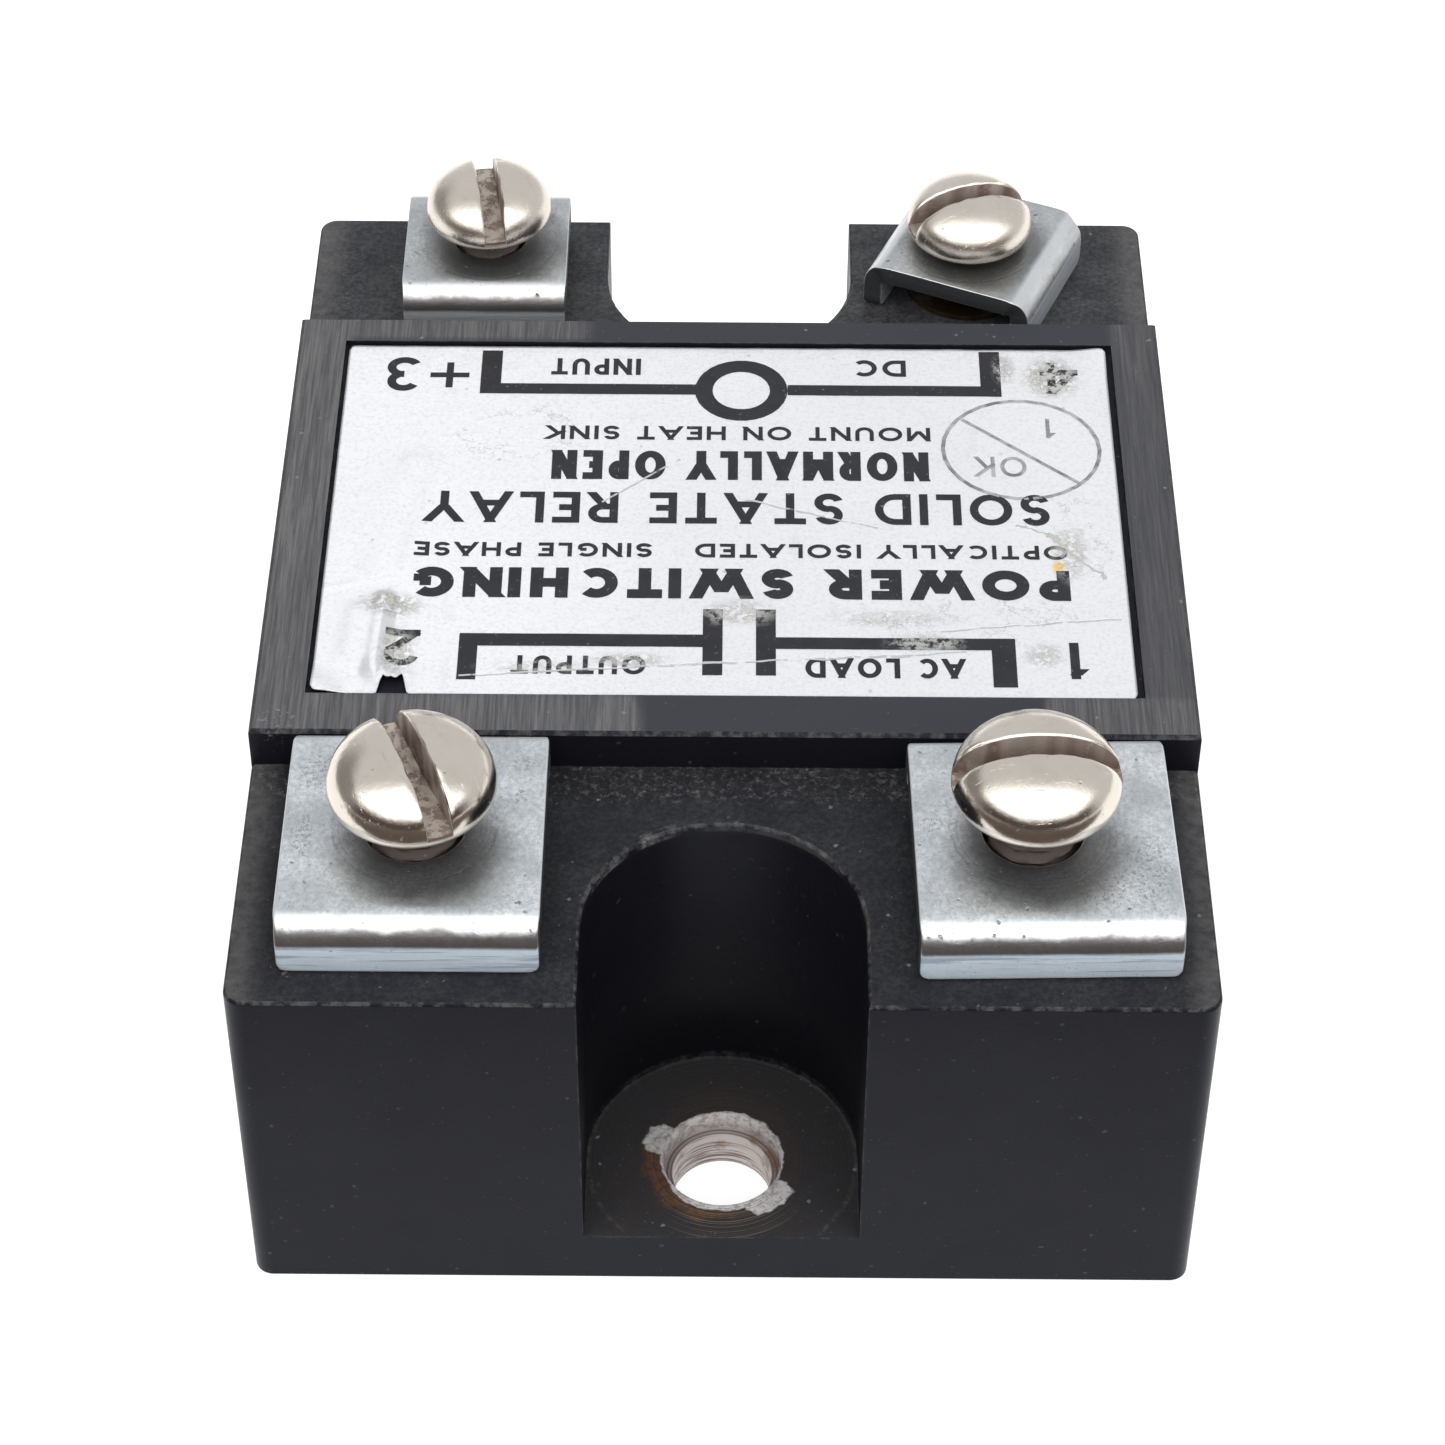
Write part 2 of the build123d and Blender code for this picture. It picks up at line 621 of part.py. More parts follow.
def bridge_diodes():
    """Four rectifier diodes side by side."""
    places = [(BRIDGE_DIODE_FIRST_X + BRIDGE_DIODE_SPACING * n, BRIDGE_DIODE_Y) for n in range(4)]
    return Compound(children=[axial_part(**BRIDGE_DIODE, place=place) for place in places])


def gate_resistors():
    """Two gate resistors side by side."""
    return Compound(children=[axial_part(**GATE_RESISTOR, place=place) for place in GATE_RESISTOR_PLACES])


# ---------------------------------------------------------------- filling
def potting_compound(embedded):
    """Cured resin from the base plate up to the board, round everything it embeds."""
    level = block(
        (-HALF_WIDTH, HALF_WIDTH), (-HALF_LENGTH, HALF_LENGTH), (PLATE_THICKNESS, BOARD_BOTTOM_Z)
    )
    resin = cavity() & level
    for terminal in TERMINALS.values():
        resin -= insert_boss(terminal)
        resin -= insert_blank(terminal)
    for piece in embedded:
        resin -= piece
    return resin


def build():
    """Every piece of the relay by name."""
    sunk = {
        "ceramic_insulator": ceramic_insulator(),
        "heat_spreader_1": heat_spreader(1),
        "heat_spreader_2": heat_spreader(-1),
        "thyristor_chip_1": thyristor_chip(1),
        "thyristor_chip_2": thyristor_chip(-1),
        "cathode_jumper_1": cathode_jumper(1, JUMPER_1_Y),
        "cathode_jumper_2": cathode_jumper(-1, JUMPER_2_Y),
        "main_lead_1": main_lead(1),
        "main_lead_2": main_lead(-1),
        "control_lead_3": control_lead(-1),
        "control_lead_4": control_lead(1),
        "gate_leads": gate_leads(),
        "output_pins": output_pins(),
    }
    parts = {
        "housing": housing(),
        "base_plate": base_plate(),
        "rating_label": rating_label(),
        **sunk,
        "potting_compound": potting_compound(sunk.values()),
        "circuit_board": circuit_board(),
        "optocoupler": optocoupler(),
        "input_resistor": axial_part(**INPUT_RESISTOR),
        "input_diode": axial_part(**INPUT_DIODE),
        "current_limit_transistor": to92_part(CURRENT_LIMIT_PLACE, 0),
        "trigger_thyristor": to92_part(TRIGGER_PLACE, 180),
        "zero_cross_transistor": to92_part(ZERO_CROSS_PLACE, 90),
        "bridge_diodes": bridge_diodes(),
        "gate_resistors": gate_resistors(),
        "snubber_capacitor": snubber_capacitor(),
        "snubber_resistor": axial_part(**SNUBBER_RESISTOR),
    }
    for number, terminal in TERMINALS.items():
        parts[f"terminal_insert_{number}"] = terminal_insert(terminal)
        parts[f"clamp_plate_{number}"] = clamp_plate(terminal)
        parts[f"terminal_screw_{number}"] = terminal_screw(terminal)
    return parts


os.makedirs("parts", exist_ok=True)
for part_name, part in build().items():
    export_step(part, f"parts/{part_name}.step")
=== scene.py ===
import json
import math

import bmesh
import bpy
from mathutils import Matrix, Vector, noise
from mathutils.geometry import delaunay_2d_cdt


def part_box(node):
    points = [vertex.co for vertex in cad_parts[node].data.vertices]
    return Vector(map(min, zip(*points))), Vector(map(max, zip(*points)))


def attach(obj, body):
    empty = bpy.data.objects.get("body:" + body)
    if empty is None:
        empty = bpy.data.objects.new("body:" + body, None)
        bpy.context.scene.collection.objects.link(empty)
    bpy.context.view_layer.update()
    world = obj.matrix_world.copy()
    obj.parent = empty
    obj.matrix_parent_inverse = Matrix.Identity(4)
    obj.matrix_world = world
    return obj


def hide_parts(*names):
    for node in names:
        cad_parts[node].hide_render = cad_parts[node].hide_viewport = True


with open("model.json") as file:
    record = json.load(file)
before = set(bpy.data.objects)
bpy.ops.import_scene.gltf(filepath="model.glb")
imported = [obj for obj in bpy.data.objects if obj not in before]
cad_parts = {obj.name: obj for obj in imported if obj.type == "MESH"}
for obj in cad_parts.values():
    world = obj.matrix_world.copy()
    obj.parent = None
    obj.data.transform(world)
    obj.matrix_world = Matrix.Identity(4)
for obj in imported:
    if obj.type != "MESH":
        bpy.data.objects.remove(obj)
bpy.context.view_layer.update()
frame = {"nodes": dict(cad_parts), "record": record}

# The looks of a panel-mount solid state relay. Sizes in this script are millimetres, turned into metres where
# a mesh, a place or a light is made. +X is towards terminals 1 and 4, and +Y is towards terminals 3 and 4.

MM = 0.001

# ---------------------------------------------------------------- camera and light
CAMERA_PLACE = (0.42, -146.45, 151.9)
CAMERA_TARGET = (-0.2, 9.39, 0.0)
CAMERA_ROLL_DEG = 0.24
CAMERA_LENS = 99.43
FLOOR_SIDE = 3000.0
DARK_MAT_X = (-700.0, 330.0)
DARK_MAT_Y = (-1500.0, -46.0)
DARK_MAT_HEIGHT = 0.3
SKY_PLAIN = (0.76, 0.77, 0.8)
SKY_BANK = (2.5, 2.52, 2.56)
SKY_LEFT = (0.3, 0.29, 0.29)
SKY_ROOM = (0.07, 0.045, 0.037)
SKY_BACKDROP = (1.05, 1.05, 1.05)

# ---------------------------------------------------------------- sizes that the nodes' boxes don't give
POWER = {
    "length": 9.5,
    "head_height": 3.05,
    "thread_radius": 2.05,
    "slot_width": 1.15,
    "slot_depth": 2.3,
    "across": 13.0,
    "along": 11.9,
}
CONTROL = {
    "length": 7.9,
    "head_height": 2.6,
    "thread_radius": 1.72,
    "slot_width": 1.05,
    "slot_depth": 1.95,
    "across": 9.3,
    "along": 8.6,
}
TERMINALS = {
    1: {"sizes": POWER, "slot_deg": 2.5, "clamp_deg": 91.3, "slot_wear": 0.04, "flange_step": 0.05},
    2: {"sizes": POWER, "slot_deg": -67.0, "clamp_deg": 90.0, "slot_wear": 0.05, "flange_step": 0.05},
    3: {"sizes": CONTROL, "slot_deg": -81.0, "clamp_deg": 90.0, "slot_wear": 0.05, "flange_step": 0.05},
    4: {"sizes": CONTROL, "slot_deg": 17.8, "clamp_deg": -23.3, "slot_wear": 0.05, "flange_step": 0.22},
}
THREAD_PITCH = 25.4 / 32
THREAD_DEPTH = 0.38
LEVELS_PER_TURN = 9
NECK_LENGTH = 0.25
# A head: its dome's power as a superellipse, its rim's height and tuck, and its slot's worn edge
DOME_POWER = 2.15
RIM_SHARE = 0.2
RIM_TUCK = 0.11
SLOT_EDGE_REACH = 0.1
SLOT_EDGE_DROP = 0.12
CLAMP_THICKNESS = 1.0
CLAMP_BEND_RADIUS = 1.45
CLAMP_FOOT_RADIUS = 0.5
CLAMP_EDGE_RADIUS = 0.28
CLAMP_HOLE_GAP = 0.25
CLAMP_ROWS = 26
# From a screw's axis to the middle of the painted shade of its head on its clamp plate
HEAD_SHADE = Vector((0.7, -1.3, 0.0))
MOUNT_Y = 23.8
# Just under the block's face, just under and over the decks, and just over the mounting slots' floor
BLOCK_LOW = 21.5
DECK_LOW = 19.2
DECK_HIGH = 19.6
FLOOR_HIGH = 3.6
CASE_END = 28.6
SLOT_HALF_WIDTH = 6.75
# Scuffed places of each clamp in its own frame: centre and radii
CLAMP_MARKS = {
    1: [((-2.6, -4.4), (3.2, 1.6)), ((0.4, 5.1), (0.7, 0.7)), ((-3.6, -2.4), (1.6, 2.4))],
    2: [
        ((3.2, 4.3), (1.7, 1.5)),
        ((3.9, -4.9), (0.6, 0.8)),
        ((1.7, -4.7), (0.8, 0.5)),
        ((-0.8, 5.0), (1.9, 0.7)),
    ],
    3: [((-1.5, 3.4), (1.2, 0.8)), ((1.6, -3.1), (0.8, 0.9))],
    4: [((-1.4, -3.0), (1.2, 0.9)), ((2.1, 2.8), (0.8, 0.9))],
}
# Residue and scuffs on the label: centre, radii and strength
LABEL_MARKS = [
    ((-16.2, -4.7), (2.1, 1.3), 1.0),
    ((-15.7, -8.0), (1.2, 2.3), 0.9),
    ((16.6, 12.9), (2.0, 2.2), 1.0),
    ((14.2, 13.6), (0.8, 1.6), 0.8),
    ((15.2, -7.9), (1.4, 1.2), 0.7),
    ((9.6, -7.1), (2.4, 0.9), 0.8),
    ((0.6, -5.0), (2.4, 1.3), 0.75),
    ((8.0, -5.4), (4.5, 0.9), 0.5),
    ((-4.6, -8.4), (2.6, 0.7), 0.75),
    ((16.9, -0.6), (1.3, 2.8), 0.7),
    ((-9.0, -8.9), (3.5, 0.6), 0.5),
]
# Scratches in the label's print: start and end
LABEL_SCRATCHES = [
    ((11.6, -7.5), (-12.4, -9.35)),
    ((19.2, -5.1), (9.4, -6.15)),
    ((9.0, -7.8), (-2.4, -8.5)),
    ((-2.2, 6.5), (-6.0, 3.2)),
    ((7.6, 1.4), (1.2, 3.4)),
]


# ---------------------------------------------------------------- small helpers
def metres(*values):
    """Millimetres as a vector in metres."""
    return Vector(values) * MM


def smooth_step(value, low, high):
    """0 below low, 1 above high and a smooth rise between them."""
    t = min(max((value - low) / (high - low), 0.0), 1.0)
    return t * t * (3 - 2 * t)


def round_off(gap, radius):
    """How far a rounded corner stands back from its edge, at a distance along the other edge."""
    return radius - math.sqrt(max(radius**2 - (radius - gap) ** 2, 0.0))


def node_box(node):
    """Lowest and highest corner of a CAD node in millimetres."""
    low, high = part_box(node)
    return low / MM, high / MM


def scene_object(name, data):
    """A new object in the scene."""
    thing = bpy.data.objects.new(name, data)
    bpy.context.scene.collection.objects.link(thing)
    return thing


def placed(x, y, z, turn_deg):
    """The frame of a piece at a place in millimetres, turned about Z."""
    return Matrix.Translation(metres(x, y, z)) @ Matrix.Rotation(math.radians(turn_deg), 4, "Z")


def mesh_piece(name, points, faces, material):
    """An object from points in millimetres and faces, with smooth shading away from its sharp edges."""
    mesh = bpy.data.meshes.new(name)
    mesh.from_pydata([Vector(point) * MM for point in points], [], faces)
    mesh.validate()
    mesh.materials.append(material)
    shade(mesh)
    return scene_object(name, mesh)


def shade(mesh, sharp_deg=38.0):
    """Smooth shading with edges over the given angle left sharp."""
    mesh.polygons.foreach_set("use_smooth", [True] * len(mesh.polygons))
    mesh.set_sharp_from_angle(angle=math.radians(sharp_deg))


def outward(mesh):
    """Turns a closed mesh's faces outwards."""
    shell = bmesh.new()
    shell.from_mesh(mesh)
    bmesh.ops.recalc_face_normals(shell, faces=shell.faces)
    shell.to_mesh(mesh)
    shell.free()


# ---------------------------------------------------------------- material nodes
class Patterns:
    """Nodes of one tree, and the patterns that the materials and the surround are made from."""

    def __init__(self, tree):
        self.tree = tree

    def add(self, kind, **settings):
        node = self.tree.nodes.new(kind)
        for key, value in settings.items():
            setattr(node, key, value)
        return node

    def link(self, value, socket):
        """Joins a socket to an input, or sets the input to a plain value."""
        if isinstance(value, bpy.types.NodeSocket):
            self.tree.links.new(value, socket)
        else:
            socket.default_value = value

    def vector(self, operation, a, b=None, scale=None):
        node = self.add("ShaderNodeVectorMath", operation=operation)
        self.link(a, node.inputs[0])
        if b is not None:
            self.link(b, node.inputs[1])
        if scale is not None:
            self.link(scale, node.inputs["Scale"])
        is_number = operation in ("LENGTH", "DISTANCE", "DOT_PRODUCT")
        return node.outputs["Value" if is_number else "Vector"]

    def math(self, operation, a, b=0.0, c=0.0):
        node = self.add("ShaderNodeMath", operation=operation)
        for value, socket in zip((a, b, c), node.inputs):
            self.link(value, socket)
        return node.outputs[0]

    def rise(self, value, low, high, bottom=0.0, top=1.0):
        """A smooth rise from bottom to top as value goes from low to high; low may be above high."""
        node = self.add("ShaderNodeMapRange", interpolation_type="SMOOTHSTEP")
        for entry, socket in zip((value, low, high, bottom, top), node.inputs):
            self.link(entry, socket)
        return node.outputs[0]

    def band(self, value, low, high, soft):
        """1 between low and high, with soft ends."""
        up = self.rise(value, low - soft, low + soft)
        down = self.rise(value, high + soft, high - soft)
        return self.math("MULTIPLY", up, down)

    def times(self, *factors):
        result = factors[0]
        for factor in factors[1:]:
            result = self.math("MULTIPLY", result, factor)
        return result

    def most(self, *values):
        result = values[0]
        for value in values[1:]:
            result = self.math("MAXIMUM", result, value)
        return result

    def mix(self, factor, a, b):
        """Between two numbers."""
        node = self.add("ShaderNodeMix", data_type="FLOAT")
        self.link(factor, node.inputs[0])
        self.link(a, node.inputs[2])
        self.link(b, node.inputs[3])
        return node.outputs[0]

    def tint(self, factor, a, b):
        """Between two colours, each a socket or plain red, green and blue."""
        node = self.add("ShaderNodeMix", data_type="RGBA")
        self.link(factor, node.inputs[0])
        for colour, socket in ((a, node.inputs[6]), (b, node.inputs[7])):
            self.link((*colour, 1.0) if isinstance(colour, tuple) else colour, socket)
        return node.outputs[2]

    def coats(self, paint, layers):
        """Lays colours over a paint, one after another: each layer has its pattern, strength and colour."""
        for pattern, strength, colour in layers:
            factor = pattern if strength == 1.0 else self.times(pattern, strength)
            paint = self.tint(factor, paint, colour)
        return paint

    def sway(self, pattern, reach):
        """A pattern from 0 to 1 as an offset to both sides of zero."""
        return self.math("MULTIPLY", self.math("SUBTRACT", pattern, 0.5), reach)

    def swayed(self, value, pattern, reach):
        """A value moved up and down by a pattern."""
        return self.math("ADD", value, self.sway(pattern, reach))

    def join(self, x, y):
        """A place on the XY plane from two numbers."""
        node = self.add("ShaderNodeCombineXYZ")
        self.link(x, node.inputs[0])
        self.link(y, node.inputs[1])
        return node.outputs[0]

    def split(self, vector):
        """The three parts of a vector."""
        node = self.add("ShaderNodeSeparateXYZ")
        self.link(vector, node.inputs[0])
        return node.outputs[0], node.outputs[1], node.outputs[2]


class Surface(Patterns):
    """A Principled material, with places in millimetres."""

    def __init__(self, name):
        self.material = bpy.data.materials.new(name)
        self.material.use_nodes = True
        super().__init__(self.material.node_tree)
        self.shader = self.tree.nodes["Principled BSDF"]
        coords = self.add("ShaderNodeTexCoord")
        self.place = self.vector("MULTIPLY", coords.outputs["Object"], (1000.0, 1000.0, 1000.0))
        self.x, self.y, self.z = self.split(self.place)
        self.level_place = self.vector("MULTIPLY", self.place, (1.0, 1.0, 0.0))
        self.normal = self.add("ShaderNodeNewGeometry").outputs["Normal"]
        self.facing_up = self.split(self.normal)[2]

    def set(self, **inputs):
        """Sets or links the shader's own inputs; an underscore in a name stands for a space."""
        for key, value in inputs.items():
            self.link(value, self.shader.inputs[key.replace("_", " ")])

    def stretched(self, sx, sy, sz, shift=(0.0, 0.0, 0.0)):
        return self.vector("MULTIPLY", self.shifted(shift), (sx, sy, sz))

    def shifted(self, shift):
        return self.vector("ADD", self.place, shift)

    def from_axis(self, x, y):
        """Distance from an upright axis."""
        return self.vector("DISTANCE", self.level_place, (x, y, 0.0))

    def shaken(self, place, amounts, pattern):
        """Places pushed along a direction by a pattern."""
        return self.vector("ADD", place, self.vector("SCALE", amounts, scale=pattern))

    def noise(self, scale, detail=3.0, roughness=0.55, vector=None):
        node = self.add("ShaderNodeTexNoise")
        self.link(vector if vector is not None else self.place, node.inputs["Vector"])
        node.inputs["Scale"].default_value = scale
        node.inputs["Detail"].default_value = detail
        node.inputs["Roughness"].default_value = roughness
        return node.outputs["Fac"]

    def rings(self, gap, scale, roughness=0.6):
        """Noise in rings about an axis, from the distance to it."""
        return self.noise(1.0, 3.0, roughness, self.vector("SCALE", (scale, 0.0, 0.0), scale=gap))

    def specks(self, scale, size, share, vector=None):
        """Small uneven spots: cells per millimetre, spot size in cells and the share of cells with one."""
        node = self.add("ShaderNodeTexVoronoi")
        self.link(vector if vector is not None else self.place, node.inputs["Vector"])
        node.inputs["Scale"].default_value = scale
        dot = self.rise(node.outputs["Distance"], size, size * 0.45)
        pick = self.add("ShaderNodeSeparateColor")
        self.link(node.outputs["Color"], pick.inputs[0])
        chosen = self.rise(pick.outputs[0], 1.0 - share, 1.0 - share * 0.6)
        return self.times(dot, chosen)

    def segment(self, start, end, half_width, soft, wobble=None):
        """A soft line on the XY plane between two places."""
        run = Vector((end[0] - start[0], end[1] - start[1], 0.0))
        flat = self.vector("MULTIPLY", wobble if wobble is not None else self.place, (1.0, 1.0, 0.0))
        offset = self.vector("SUBTRACT", flat, (start[0], start[1], 0.0))
        share = self.math("DIVIDE", self.vector("DOT_PRODUCT", offset, tuple(run)), run.length_squared)
        inside = self.math("MINIMUM", self.math("MAXIMUM", share, 0.0), 1.0)
        nearest = self.vector("SCALE", tuple(run), scale=inside)
        gap = self.vector("DISTANCE", offset, nearest)
        return self.rise(gap, half_width + soft, half_width)

    def blob(self, centre, radii, soft=0.5):
        """A soft oval on the XY plane, 1 in its middle."""
        offset = self.vector("SUBTRACT", self.place, (centre[0], centre[1], 0.0))
        scaled = self.vector("MULTIPLY", offset, (1.0 / radii[0], 1.0 / radii[1], 0.0))
        return self.rise(self.vector("LENGTH", scaled), 1.0, 1.0 - soft)

    def edges(self, radius, low=0.02, high=0.2):
        """1 along sharp edges, where a rounded normal differs from the true one."""
        bevel = self.add("ShaderNodeBevel", samples=6)
        bevel.inputs["Radius"].default_value = radius * MM
        same = self.vector("DOT_PRODUCT", bevel.outputs[0], self.normal)
        return self.rise(self.math("SUBTRACT", 1.0, same), low, high)

    def upward(self, low=0.85, high=0.97):
        """1 on faces that look up."""
        return self.rise(self.facing_up, low, high)

    def bump(self, height, depth_mm, strength=1.0):
        """Adds a height pattern to the shader's normal; depth_mm is its depth in millimetres."""
        node = self.add("ShaderNodeBump")
        node.inputs["Strength"].default_value = strength
        node.inputs["Distance"].default_value = depth_mm * MM
        self.link(height, node.inputs["Height"])
        before = self.shader.inputs["Normal"].links
        if before:
            self.tree.links.new(before[0].from_socket, node.inputs["Normal"])
        self.tree.links.new(node.outputs[0], self.shader.inputs["Normal"])


# ---------------------------------------------------------------- materials
def grey(value, warm=0.0):
    """A grey with a little more red and less blue when warm is above 0."""
    return (value * (1 + warm), value, value * (1 - warm))


def phenolic():
    """Moulded black phenolic: satin, with sanded streaks round the label, dust, chips and rust."""
    s = Surface("phenolic_case")
    flat_up = s.upward()
    on_block = s.times(s.rise(s.z, BLOCK_LOW, BLOCK_LOW + 0.08), flat_up)
    on_deck = s.times(s.band(s.z, DECK_LOW, DECK_HIGH, 0.05), flat_up)
    rounded = s.times(s.rise(s.facing_up, 0.08, 0.3), s.rise(s.facing_up, 0.985, 0.9))

    # Sanded streaks along Y on the block's rim, strongest on the left and at the front left
    fine = s.noise(1.0, 5.0, 0.75, s.stretched(7.0, 0.2, 1.0))
    coarse = s.noise(1.0, 2.0, 0.5, s.stretched(1.6, 0.1, 1.0))
    patchy = s.noise(0.22, 2.0, 0.5)
    left = s.rise(s.x, -18.9, -20.0)
    right = s.times(s.rise(s.x, 19.4, 20.4), 0.5)
    ragged_x = s.swayed(s.x, patchy, 2.0)
    front_left = s.times(s.rise(s.y, -10.2, -11.4), s.rise(ragged_x, -3.6, -4.6))
    back_left = s.times(s.rise(s.y, 15.2, 15.9), s.rise(ragged_x, -6.4, -8.2), 0.85)
    front_right = s.times(s.rise(s.y, -10.2, -11.4), s.rise(ragged_x, 14.6, 15.2), 0.85)
    where = s.most(left, right, front_left, back_left, front_right)
    streaks = s.times(where, on_block, s.mix(coarse, 0.4, 1.2), s.rise(fine, 0.32, 0.72, 0.25, 1.0))

    # Worn edges and chips
    chatter = s.noise(1.7, 4.0, 0.65)
    sharp = s.times(s.edges(0.22, 0.03, 0.25), s.rise(s.z, 1.0, 2.5))
    worn = s.times(s.most(s.times(sharp, 0.7), rounded), s.rise(chatter, 0.4, 0.68))
    rim_gap = s.from_axis(0.0, -MOUNT_Y)
    rim_noise = s.noise(0.55, 5.0, 0.65, s.shifted((3.0, 0.0, 0.0)))
    high_up = s.rise(s.z, DECK_LOW - 0.3, DECK_LOW - 0.1)
    rim_left = s.times(s.rise(s.x, -1.0, -3.6), s.rise(s.y, -22.6, -20.6), high_up)
    rim_chips = s.times(s.band(rim_gap, 6.3, 6.85, 0.12), rim_left, s.rise(rim_noise, 0.5, 0.6))
    rim_line = s.times(s.band(rim_gap, 6.3, 6.62, 0.06), high_up, s.rise(rim_noise, 0.42, 0.6))
    corner_gap = s.vector("DISTANCE", s.place, (-20.9, -12.9, 21.6))
    corner_chip = s.times(s.rise(corner_gap, 1.2, 0.4), s.rise(s.noise(2.6, 4.0, 0.7), 0.54, 0.64))

    # Dust and small pale marks, thicker along the foot of the step and on the decks
    ragged_place = s.shaken(s.place, (0.5, 0.4, 0.3), s.noise(2.0, 4.0, 0.7))
    specks = s.times(s.specks(0.9, 0.12, 0.5, ragged_place), s.rise(s.facing_up, -0.2, 0.8, 0.12, 1.0))
    fine_specks = s.times(s.specks(2.4, 0.14, 0.28, ragged_place), s.rise(s.facing_up, -0.2, 0.8, 0.25, 1.0))
    near_step = s.times(on_deck, s.band(s.y, -15.9, -13.3, 0.6))
    step_dust = s.times(near_step, s.rise(s.noise(3.0, 6.0, 0.8), 0.5, 0.72))
    powder = s.rise(s.noise(4.2, 5.0, 0.8), 0.35, 0.7, 0.35, 1.3)
    film = s.times(on_deck, s.rise(s.noise(0.4, 5.0, 0.7), 0.3, 0.7, 0.45, 1.0), powder)
    scuffs = s.rise(s.noise(1.0, 4.0, 0.7, s.stretched(0.5, 2.6, 1.6)), 0.69, 0.76)
    beside = s.math("ABSOLUTE", s.x)
    within = s.rise(s.math("ABSOLUTE", s.y), CASE_END - 0.1, CASE_END - 0.3)
    walls = s.rise(beside, SLOT_HALF_WIDTH, SLOT_HALF_WIDTH - 0.15)
    inside = s.times(s.rise(s.z, DECK_LOW - 0.2, DECK_LOW - 0.6), walls, within)
    scratch_noise = s.noise(1.0, 5.0, 0.7, s.stretched(3.4, 3.4, 0.5))
    wall_scratches = s.times(inside, s.rise(scratch_noise, 0.7, 0.76))
    deck_wear = s.times(on_deck, s.rise(beside, 20.3, 21.9), s.rise(chatter, 0.2, 0.7, 0.3, 1.0))
    marks = [(specks, 0.55), (fine_specks, 0.35), (step_dust, 0.45), (scuffs, 0.14), (wall_scratches, 0.3)]
    dust = s.most(*[s.times(mark, strength) for mark, strength in marks])

    # Rust-brown washer rings and bare metal round both mounting holes, with Y towards the block at each
    toward_block = s.math("SUBTRACT", MOUNT_Y, s.math("ABSOLUTE", s.y))
    hole_place = s.join(s.x, toward_block)
    hole_gap = s.vector("LENGTH", hole_place)
    in_hole = s.rise(hole_gap, 3.15, 3.0)
    low_down = s.times(s.rise(s.z, FLOOR_HIGH, FLOOR_HIGH - 0.3), s.most(flat_up, in_hole))
    ragged_gap = s.swayed(hole_gap, s.noise(0.7, 4.0, 0.6), 1.6)
    ring_lines = s.rings(hole_gap, 9.0)
    lower_left = s.rise(s.vector("DISTANCE", hole_place, (-2.6, -2.2, 0.0)), 4.6, 1.6, 0.1, 1.0)
    grain = s.noise(2.6, 5.0, 0.7)
    streaky = s.times(s.rise(ring_lines, 0.35, 0.6, 0.3, 1.0), s.rise(grain, 0.32, 0.6, 0.15, 1.0))
    rust = s.times(low_down, s.band(ragged_gap, 2.9, 3.8, 0.3), lower_left, streaky)
    in_front = s.rise(s.vector("DISTANCE", hole_place, (0.4, -3.6, 0.0)), 3.6, 1.4)
    rings = s.times(low_down, in_front, s.band(hole_gap, 2.9, 4.9, 0.2), s.rise(ring_lines, 0.5, 0.6))
    behind = s.rise(s.vector("DISTANCE", hole_place, (0.3, 3.6, 0.0)), 3.4, 1.6)
    dark_rings = s.times(low_down, behind, s.band(hole_gap, 3.0, 4.6, 0.2), s.rise(ring_lines, 0.5, 0.6))
    upper_left = s.vector("DISTANCE", hole_place, (-2.95, 1.15, 0.0))
    lower_right = s.math("SUBTRACT", s.vector("DISTANCE", hole_place, (2.3, -2.45, 0.0)), 0.35)
    ragged = s.sway(s.noise(1.6, 2.0), 0.7)
    patch = s.math("ADD", s.math("MINIMUM", upper_left, lower_right), ragged)
    near_hole = s.rise(s.math("ADD", hole_gap, s.math("MULTIPLY", ragged, 0.8)), 4.0, 3.85)
    front_strip = s.rise(toward_block, -1.4, -2.4, 0.0, 0.22)
    rim_gap_wobbly = s.math("ADD", hole_gap, s.math("MULTIPLY", ragged, 0.5))
    rim_metal = s.rise(s.math("SUBTRACT", rim_gap_wobbly, front_strip), 3.0, 2.9)
    bare = s.times(low_down, s.most(s.times(s.rise(patch, 0.95, 0.8), near_hole), rim_metal))
    grime = s.times(low_down, s.rise(s.noise(0.5, 5.0, 0.7), 0.25, 0.7))
    floor_specks = s.times(low_down, s.rise(s.noise(3.4, 5.0, 0.75), 0.6, 0.72))
    disc_low = s.times(s.rise(s.z, FLOOR_HIGH, FLOOR_HIGH - 0.2), within)
    disc_edge = s.times(s.band(hole_gap, 6.35, 6.55, 0.1), disc_low, s.rise(grain, 0.4, 0.65))

